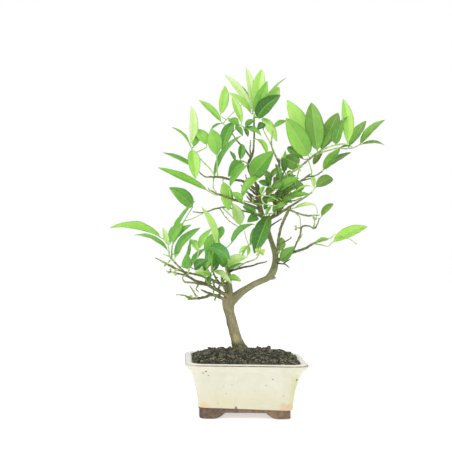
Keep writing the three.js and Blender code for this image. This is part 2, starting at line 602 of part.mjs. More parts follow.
function buildDrainMesh(x) {
  const { side, thickness, holes, hole, pitch } = DRAIN_MESH;
  const middle = POT_FLOOR + CLEARANCE + thickness / 2;
  const first = -(holes - 1) * pitch / 2;
  const openings = [];
  for (let row = 0; row < holes; row += 1) {
    for (let column = 0; column < holes; column += 1) {
      const [holeX, holeY] = [x + first + column * pitch, first + row * pitch];
      openings.push(boxSolid(hole, hole, 4 * thickness, holeX, holeY, middle));
    }
  }
  return shifted(boxSolid(side, side, thickness, x, 0, middle).subtract(unionOf(openings)));
}

// Soil

function soilHeight(x, y) {
  const [, edge] = CAVITY_PROFILE.at(-1);
  const acrossX = Math.min(1, Math.abs(x) / (x < 0 ? SOIL_HEAP_LEFT_END : edge));
  const acrossY = Math.min(1, Math.abs(y) / (edge - LENGTH_OVER_DEPTH));
  const heap = (1 - acrossX ** 4) * (1 - acrossY ** 4);
  const broadLumps = 1.1 * Math.sin(0.27 * x + 0.5) * Math.cos(0.31 * y + 0.9);
  const lumps = broadLumps + 0.8 * Math.sin(0.61 * x - 0.43 * y);
  return SOIL_EDGE_HEIGHT + SOIL_HEAP * heap + lumps * heap ** 0.5;
}

function buildSoil(trunk) {
  const sides = CAVITY_PROFILE.slice(0, -1).map(([z, cavityHalf]) => {
    const half = cavityHalf - CLEARANCE;
    const radius = cornerRadius(z) - CORNER_RADIUS.lessInside - CLEARANCE;
    const height = z === POT_FLOOR ? z + CLEARANCE : z;
    return roundedRectangle(half, half - LENGTH_OVER_DEPTH, radius, () => height, SOIL_PLAN_STEPS);
  });
  const top = [];
  for (let step = 0; step < SOIL_TOP_RINGS; step += 1) {
    const scale = 1 - step / SOIL_TOP_RINGS;
    const plan = sides.at(-1);
    top.push(plan.map((corner) => {
      const [x, y] = [corner.x * scale, corner.y * scale];
      return new THREE.Vector3(x, y, soilHeight(x, y));
    }));
  }
  const start = new THREE.Vector3(0, 0, POT_FLOOR + CLEARANCE);
  const mound = solidOf(loft([...sides, ...top], start, new THREE.Vector3(0, 0, soilHeight(0, 0))));
  const meshRecess = DRAIN_MESH.side + 2 * CLEARANCE;
  const recessHeight = 2 * (DRAIN_MESH.thickness + 2 * CLEARANCE);
  const recesses = [-DRAIN_HOLE.x, DRAIN_HOLE.x].map((x) => (
    boxSolid(meshRecess, meshRecess, recessHeight, x, 0, POT_FLOOR)
  ));
  return mainBody(shifted(mound.subtract(unionOf(recesses))).subtract(trunk));
}

// Wood

function sidesFor(radius) {
  if (radius > 4) return 8;
  if (radius > 2) return 5;
  return radius > 1.25 ? 4 : 3;
}

// A tapering limb through rows of [x, z, y, radius], grown by an allowance all round
function limbSolid(rows, allowance = 0) {
  const nodes = rows.map(([x, z, y]) => seen(x, z, y));
  const radii = rows.map((row) => row[3] + allowance);
  const steps = rows.length - 1;
  const curve = new THREE.CatmullRomCurve3(nodes, false, 'centripetal');
  const sides = sidesFor(rows[0][3]);
  const normal = new THREE.Vector3(0, 0, 1);
  const rings = [];
  let tangent;
  for (let step = 0; step <= steps; step += 1) {
    const along = step / steps;
    tangent = curve.getTangent(along);
    normal.addScaledVector(tangent, -normal.dot(tangent));
    if (normal.length() < 0.1) normal.set(0, 1, 0).addScaledVector(tangent, -tangent.y);
    normal.normalize();
    const sideways = tangent.clone().cross(normal);
    const centre = nodes[step];
    const radius = radii[step];
    rings.push(Array.from({ length: sides }, (_, k) => {
      const angle = 2 * Math.PI * k / sides;
      const [up, side] = [radius * Math.cos(angle), radius * Math.sin(angle)];
      return centre.clone().addScaledVector(normal, up).addScaledVector(sideways, side);
    }));
  }
  const end = nodes.at(-1).clone().addScaledVector(tangent, 0.6 * radii.at(-1));
  return solidOf(loft(rings, nodes[0], end));
}

function buildWood(allowance = 0) {
  return unionOf(Object.values(LIMBS).map((rows) => limbSolid(rows, allowance)));
}

// Leaves

// The nearest point of the stems to (x, z), as seen, with its depth
function nearestOnStems(stems, x, z) {
  let best = { distance: Infinity };
  for (const stem of stems) {
    for (let i = 0; i + 1 < stem.length; i += 1) {
      const [[ax, az, ay], [bx, bz, by]] = [stem[i], stem[i + 1]];
      const length2 = (bx - ax) ** 2 + (bz - az) ** 2;
      const along = THREE.MathUtils.clamp(((x - ax) * (bx - ax) + (z - az) * (bz - az)) / length2, 0, 1);
      const point = [ax, az, ay].map((value, k) => value + along * ([bx, bz, by][k] - value));
      const distance = Math.hypot(x - point[0], z - point[1]);
      if (distance < best.distance) best = { distance, point };
    }
  }
  return best.point;
}

function bladeHalfWidth(width, along, swell) {
  return width / 2 * Math.sin(Math.PI * along ** swell) ** 0.9;
}

// Four points round a blade or stalk: its upper middle, one edge, its lower middle and the other edge
function leafSection(centre, along, facing, halfWidth, halfThickness, fold) {
  const upper = facing.clone().addScaledVector(along, -facing.dot(along)).normalize();
  const sideways = along.clone().cross(upper);
  return [
    centre.clone().addScaledVector(upper, halfThickness),
    centre.clone().addScaledVector(sideways, halfWidth).addScaledVector(upper, fold * halfWidth),
    centre.clone().addScaledVector(upper, -halfThickness),
    centre.clone().addScaledVector(sideways, -halfWidth).addScaledVector(upper, fold * halfWidth),
  ];
}

function leafSolid(stems, [baseX, baseZ, tipX, tipZ, dy, width, roll, arch, swell = USUAL_SWELL]) {
  const [rootX, rootZ, depth] = nearestOnStems(stems, baseX, baseZ);
  const base = seen(baseX, baseZ, depth);
  const tip = seen(tipX, tipZ, depth + dy);
  const along = tip.clone().sub(base).normalize();
  const root = seen(rootX, rootZ, depth);
  if (root.distanceTo(base) < SHORT_STALK) base.copy(root).addScaledVector(along, SHORT_STALK);
  const toEye = EYE.clone().sub(base);
  toEye.addScaledVector(along, -toEye.dot(along)).normalize();
  const upward = along.clone().cross(toEye);
  if (upward.z + 0.3 * upward.x < 0) upward.negate();
  const turn = THREE.MathUtils.degToRad(roll);
  const facing = toEye.multiplyScalar(Math.cos(turn)).addScaledVector(upward, Math.sin(turn));
  const stalk = base.clone().sub(root).normalize();
  const bend = stalk.clone().add(along).normalize();
  const rings = [
    leafSection(root, stalk, facing, PETIOLE_HALF_WIDTH, PETIOLE_HALF_WIDTH, 0),
    leafSection(base, bend, facing, PETIOLE_HALF_WIDTH, PETIOLE_HALF_WIDTH, 0),
  ];
  for (const station of BLADE_STATIONS) {
    const lift = 4 * arch * station * (1 - station);
    const centre = base.clone().lerp(tip, station).addScaledVector(facing, lift);
    const halfWidth = bladeHalfWidth(width, station, swell);
    rings.push(leafSection(centre, along, facing, halfWidth, BLADE_HALF_THICKNESS, BLADE_FOLD));
  }
  return solidOf(loft(rings, root, tip));
}

function buildSpray({ stems, leaves }, wood) {
  const pieces = [...stems.map((rows) => limbSolid(rows)), ...leaves.map((leaf) => leafSolid(stems, leaf))];
  return mainBody(unionOf(pieces).subtract(wood));
}

// The whole bonsai

const glaze = new THREE.MeshStandardMaterial({ color: 0xe9e8d4, roughness: 0.3, metalness: 0 });
const plastic = new THREE.MeshStandardMaterial({ color: 0x20241f, roughness: 0.6, metalness: 0 });
const earth = new THREE.MeshStandardMaterial({ color: 0x2f2a22, roughness: 0.95, metalness: 0 });
const bark = new THREE.MeshStandardMaterial({ color: 0x8a8468, roughness: 0.85, metalness: 0 });

const wood = buildWood();
const grownWood = buildWood(CLEARANCE);
const bonsai = new THREE.Group();
bonsai.add(meshOf(buildPot(), 'pot', glaze));
bonsai.add(meshOf(buildDrainMesh(-DRAIN_HOLE.x), 'drain_mesh_left', plastic));
bonsai.add(meshOf(buildDrainMesh(DRAIN_HOLE.x), 'drain_mesh_right', plastic));
bonsai.add(meshOf(buildSoil(grownWood), 'soil', earth));
bonsai.add(meshOf(wood, 'trunk', bark));
for (const [name, spray] of Object.entries(SPRAYS)) {
  const color = SPRAY_GREENS[name] ?? LEAF_GREEN;
  const green = new THREE.MeshStandardMaterial({ color, roughness: 0.45, metalness: 0 });
  bonsai.add(meshOf(buildSpray(spray, grownWood), `spray_${name}`, green));
}

// The origin is under the middle of the bonsai's box, on the surface that the pot stands on
const box = new THREE.Box3().setFromObject(bonsai);
const middle = box.getCenter(new THREE.Vector3());
bonsai.position.set(-middle.x, -middle.y, -box.min.z);

export default bonsai;
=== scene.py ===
# The limequat bonsai, dressed: glazed pot, crumbly soil, barked wood, twigs and leafy sprays.
import functools
import math

import bpy
import numpy as np
from mathutils import Matrix, Vector


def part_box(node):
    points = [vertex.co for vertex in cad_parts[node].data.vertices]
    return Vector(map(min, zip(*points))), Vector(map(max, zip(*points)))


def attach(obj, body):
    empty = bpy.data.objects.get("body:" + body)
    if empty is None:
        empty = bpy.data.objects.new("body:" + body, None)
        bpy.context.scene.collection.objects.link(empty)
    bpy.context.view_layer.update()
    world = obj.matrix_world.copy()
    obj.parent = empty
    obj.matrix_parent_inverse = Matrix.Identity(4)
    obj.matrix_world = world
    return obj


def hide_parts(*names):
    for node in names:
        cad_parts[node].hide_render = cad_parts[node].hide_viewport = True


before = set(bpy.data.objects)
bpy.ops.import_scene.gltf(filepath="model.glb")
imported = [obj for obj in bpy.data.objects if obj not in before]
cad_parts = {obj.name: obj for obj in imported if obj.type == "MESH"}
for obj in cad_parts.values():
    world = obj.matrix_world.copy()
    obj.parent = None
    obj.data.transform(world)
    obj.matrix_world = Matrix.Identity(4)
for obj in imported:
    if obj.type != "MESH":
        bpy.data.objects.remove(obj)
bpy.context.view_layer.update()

# Tables and builders work in millimetres, with +Z up. The zero of the tables is POT_SHIFT to the left of
# the middle of the pot's foot, and the pot's own builders work from that middle.
MILLIMETRE = 0.001
POT_SHIFT = 1.8
pot_low, pot_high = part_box("pot")
POT_MIDDLE = np.array([(pot_low.x + pot_high.x) / 2, (pot_low.y + pot_high.y) / 2, 0])
ROWS_ZERO = POT_MIDDLE - np.array([POT_SHIFT * MILLIMETRE, 0, 0])

# The point that the bonsai's outline was measured from. Table rows give x and z as seen from it on
# the plane y = 0, and y as the real depth behind (+) or in front of (-) that plane.
EYE = np.array([-100.7, -1132.3, 278.0])

# Pot, as the CAD source has it, with its profiles as (height, half-length)
LENGTH_OVER_DEPTH = 26
CORNER_STEPS = 14
FOOT_HEIGHT = 9
BAND_HEIGHT = 14.6
RIM_HEIGHT = 83.6
POT_FLOOR = 17
WALL_PROFILE = [
    (1.4, 68.1), (13.6, 68.1), (BAND_HEIGHT, 68.4), (15.2, 69.7), (16, 70.4), (18, 70.7), (23, 71.2),
    (30, 71.9), (45, 74.9), (54, 77.4), (60, 79), (65, 81), (70, 84.3), (73, 87.1), (76, 89.4),
    (78.6, 90.8), (80.4, 91.5),
]
RIM_PROFILE = [
    (81, 91.5), (81.35, 91.45), (81.65, 91.3), (81.9, 91.1), (82.15, 90.8), (82.4, 90.4), (82.65, 89.8),
    (82.9, 88.8), (83.2, 87.3), (83.45, 85.6), (RIM_HEIGHT, 84), (83.5, 82.6), (83, 81.5), (82.2, 80.9),
]
CAVITY_PROFILE = [
    (81, 80.5), (78, 79.2), (70, 75), (60, 71.3), (42, 67.3), (24, 63.3), (19, 61.3), (POT_FLOOR, 58.8),
]
# The outside corners' radius in plan at the foot band and at the rim, and how much less it is inside
BAND_CORNER = 9
RIM_CORNER = 22
CORNER_LESS_INSIDE = 5
FRONT_ARCH = (48.5, 30.3)
SIDE_ARCH = (25, 13)
# How far in from the foot's edge the rings of the underside lie, how much they rise where that edge is
# rounded, and where the recess between the feet begins and is at its full height
UNDERSIDE_INSETS = (
    36, 28, 20, 14.5, 13.0, 12.6, 12.3, 12.0, 11.7, 11.4, 11.0, 9, 7, 5, 3, 1.9, 1.2, 0.55, 0.18, 0,
)
FOOT_ROUNDING = {0.55: 0.35, 0.18: 0.8, 0: 1.4}
RECESS_EDGE = (11.0, 13.0)
DRAIN_HOLE_X = 35
DRAIN_HOLE_RADIUS = 7

# Glaze: how much its lower edge rises along the pot, how thick it is, the place, height and width of the
# chip in that edge, and where it breaks brown on the outer turn of the rim
GLAZE_SLANT = -0.027
GLAZE_THICKNESS = 0.35
GLAZE_CHIP = (-14.9, 1.7, 1.7)
RIM_TURN_HEIGHT = 82
RIM_TURN_WIDTH = 0.55
# Values of above_glaze_line for what is all glaze and all clay
WELL_ABOVE_LINE = 20.0
WELL_BELOW_LINE = -5.0
# How uneven the pot is as a whole and by its maker's fingers, and the height from which its rings lie level
POT_UNEVENNESS = 0.25
FINGER_MARKS = 0.12
EVEN_RINGS_FROM = 13.2

# Soil: its gap to the pot, the height of its edge, and how much higher its middle is heaped
CLEARANCE = 0.3
SOIL_EDGE_HEIGHT = 82.3
SOIL_EDGE = 81
SOIL_HEAP_LEFT_END = 76
SOIL_HEAP = 11.3
# Height, size and seed of the unevenness that scene.py adds, and how much lower the mound is for its crumbs
CLODS = ((1.5, 7, 21), (1.0, 3.2, 22), (0.5, 1.5, 23))
CRUMB_ROOM = 0.6

# Wood, as rows of (x, z, y, radius)
LIMBS = {
    "trunk": [
        (-3, 62, 0, 12), (-5, 88, 0, 11.5), (-6.5, 99, 0, 10.5), (-10.8, 110, 0, 9.2), (-14, 121, 0, 8),
        (-17, 131, 0, 7.8), (-19.8, 141, 0, 7.7), (-22.4, 151, 0, 7.8), (-24.6, 160, 0, 9),
        (-25.5, 168, 0, 9.6), (-25, 177, 1, 7.2), (-24.5, 187, 3, 5.6), (-25, 198, 4, 4.4),
        (-26, 210, 4, 3.7), (-28, 221, 6, 2.8),
    ],
    "right_limb": [
        (-25, 163, 0, 7.5), (-15, 175.5, 0, 6.9), (-5, 184, -1, 5.8), (5, 191, -3, 5), (15, 197, -4, 4.6),
        (25, 201.5, -4, 4.5), (34, 206, -4, 4.9), (41, 214, -3, 5.8), (45, 225, -1, 5.2), (46, 236, 0, 4.7),
        (44.5, 246, 3, 4.3), (41, 257, 7, 3.9), (37.5, 267, 12, 3.7), (33, 280, 14, 3.6),
        (27, 294, 16, 3.8), (22, 307, 16, 4), (19, 321, 14, 3.9), (17, 335, 13, 3.6), (16, 347, 12, 2.8),
    ],
    "knee_spur": [(38, 207, -4, 3.6), (43, 206.5, -7, 2.6), (46, 207, -9, 1.6)],
    "crown_right": [
        (19, 318, 14, 3.2), (29, 331, 6, 2.8), (39, 346, 0, 2.4), (45, 362, -1, 2.2), (48, 376, 0, 2.3),
        (48.5, 389, 0, 2),
    ],
    "crown_top": [
        (17, 338, 13, 2.8), (12, 352, 20, 2.3), (4, 366, 26, 2), (0, 379, 29, 1.9), (5, 391, 30, 2.2),
        (8, 404, 29, 1.4), (8.5, 422, 26, 1.3), (8, 441, 23, 1.2), (8, 455, 22, 1.1),
    ],
    "crown_shoot": [(5, 391, 30, 1.2), (3, 402, 25, 1.1), (3, 414, 20, 0.9)],
    "upper_left": [(4, 391, 30, 1.4), (-6, 403, 41, 1.3), (-18, 416, 49, 1.2)],
    "left_mid": [
        (17, 338, 13, 2.4), (5, 347, 0, 2), (-8, 354, -14, 1.8), (-25, 356, -29, 1.6), (-42, 359, -44, 1.5),
        (-55, 359, -55, 1.3), (-64, 359, -61, 1), (-70, 362, -65, 0.9), (-77, 369, -68, 0.8),
    ],
    "left_low_mid": [
        (19, 312, 14, 2.2), (8, 316, -9, 1.8), (-5, 320, -23, 1.6), (-20, 325, -38, 1.5),
        (-38, 331, -52, 1.4), (-50, 335, -62, 1.2), (-58, 339, -70, 0.9),
    ],
    "whisker": [
        (24, 300, 14, 1.8), (5, 306, 29, 1.5), (-15, 310, 38, 1.3), (-38, 313, 44, 1.2),
        (-50, 310, 45, 1.2), (-60, 306, 46, 1.1), (-70, 304, 48, 1), (-80, 305, 49, 0.8),
    ],
    "long_right": [
        (42, 354, -1, 1.8), (50, 358, -8, 1.6), (62, 367, -16, 1.5), (75, 374, -25, 1.5),
        (85, 382, -32, 1.4),
    ],
    "right_dark": [
        (29, 331, 6, 2.4), (40, 331, 5, 2.2), (50, 334, 8, 2.1), (60, 340, 14, 1.9), (70, 347, 22, 1.7),
        (82, 356, 35, 1.4), (96, 367, 51, 1.1),
    ],
    "right_dark_side": [(84, 357.6, 37, 1.3), (90, 359, 48, 1.1), (98, 361, 60, 1)],
    "right_dark_front": [
        (92, 363.9, 46.4, 1.2), (100, 364, 36, 1.1), (108, 367, 27, 1), (115, 372, 18, 0.9),
    ],
    "right_mid": [
        (27, 294, 14, 2.4), (36, 298, 3, 2.2), (45, 302, -9, 2), (55, 309, -20, 1.8), (64, 315, -29, 1.7),
        (76, 323, -38, 1.4), (88, 331, -46, 1.2), (98, 338, -52, 1),
    ],
    "cluster_twig": [(30, 332, 6, 2), (42, 334, -3, 1.8)],
    "right_low": [
        (46, 230, -1, 2.6), (56, 238, -14, 2.3), (68, 245, -28, 2), (80, 249, -39, 1.8),
        (92, 253, -49, 1.7), (101, 259, -57, 1.6),
    ],
    "zigzag": [
        (72, 246, -32, 1.3), (76, 256, -17, 1.2), (81, 267, -6, 1.2), (84, 277, 3, 1.2), (85, 285, 9, 1.3),
        (95, 288, 17, 1.1), (106, 284.5, 26, 1.2), (110, 292, 30, 0.9), (111.5, 297, 32, 0.8),
    ],
    "zigzag_spur": [(85, 284, 9, 0.9), (79, 284.5, 3, 0.7)],
    "riser": [
        (44, 220, -4, 2.4), (47, 236, -20, 2.2), (49, 254, -29, 2), (50.5, 272, -35, 1.9),
        (54.5, 288, -38, 1.9), (60, 302, -38, 2.1), (65, 312, -36, 1.9), (68, 318, -35, 1.4),
    ],
    "right_flat": [
        (65, 312, -36, 1.3), (75, 308, -46, 1.2), (85, 305, -55, 1.1), (93, 303.5, -62, 1.3),
        (104, 304, -71, 0.9), (112, 304.5, -77, 0.7),
    ],
    "dead_twig_low": [(46, 229, -3, 1.1), (54, 229, -9, 1), (60, 228, -13, 0.9), (66, 224, -17, 0.7)],
    "dead_twig_mid": [(33, 283, 13, 1.2), (42, 290, 20, 1), (53, 297, 26, 0.8)],
    "dead_twig_riser": [(49, 257, -30, 1.1), (57, 261, -38, 0.9), (68, 267, -44, 0.7)],
    "low_left": [
        (-30, 171, -6, 3.2), (-38, 175.5, -13, 2.5), (-50, 179, -23, 2.1), (-62, 175, -33, 1.9),
        (-73, 173, -42, 1.7), (-84, 173, -49, 1.5), (-92, 177, -58, 1), (-102, 178, -64, 0.7),
    ],
    "low_left_twig": [(-73, 174, -42, 1.1), (-79, 183, -48, 1), (-84, 191, -52, 0.8)],
    "low_left_fork": [(-50, 179, -23, 1.7), (-58, 182.5, -17, 1.5), (-66, 185.5, -13, 1.2)],
    "left_bough": [
        (-26, 177, -3, 3.4), (-38, 184, -12, 2.7), (-50, 190, -19, 2.3), (-62, 196, -25, 2),
        (-76, 200, -29, 1.8), (-88, 207, -32, 1.7), (-97, 216, -35, 1.5),
    ],
    "left_bough_back": [
        (-25, 188, 4, 2.6), (-40, 197, 17, 2.2), (-55, 203, 32, 1.9), (-70, 208, 45, 1.7),
        (-85, 211, 55, 1.6), (-97, 214, 64, 1.5), (-108, 218, 71, 1.7), (-118, 223.5, 78, 1.6),
        (-127, 228, 84, 1.1), (-138, 233, 90, 0.7),
    ],
    "left_bough_fork": [
        (-58, 194, -23, 1.6), (-70, 195, -35, 1.4), (-82, 197, -45, 1.3), (-94, 199, -55, 1.1),
        (-96, 204, -58, 0.8), (-92, 208, -61, 0.7),
    ],
    "left_bough_side": [
        (-88, 207, -32, 1.4), (-100, 209.5, -44, 1.2), (-109, 211.5, -52, 1.2), (-118, 213, -59, 0.8),
    ],
    "leader_twig": [(-26, 206, 4, 1.6), (-33, 208, 14, 1.3), (-40, 213, 26, 1), (-46, 219, 35, 0.8)],
    "leader_twig_front": [
        (-28, 196, 4, 1.8), (-34, 199, -9, 1.4), (-35, 207, -17, 1.1), (-36, 214, -23, 0.9),
    ],
    "cross_twig": [
        (-26, 214, 4, 1.8), (-14, 219, -4, 1.5), (-5, 221.5, -9, 1.4), (8, 224, -13, 1.2),
        (20, 228, -17, 1.1), (30, 230.5, -20, 0.8),
    ],
}
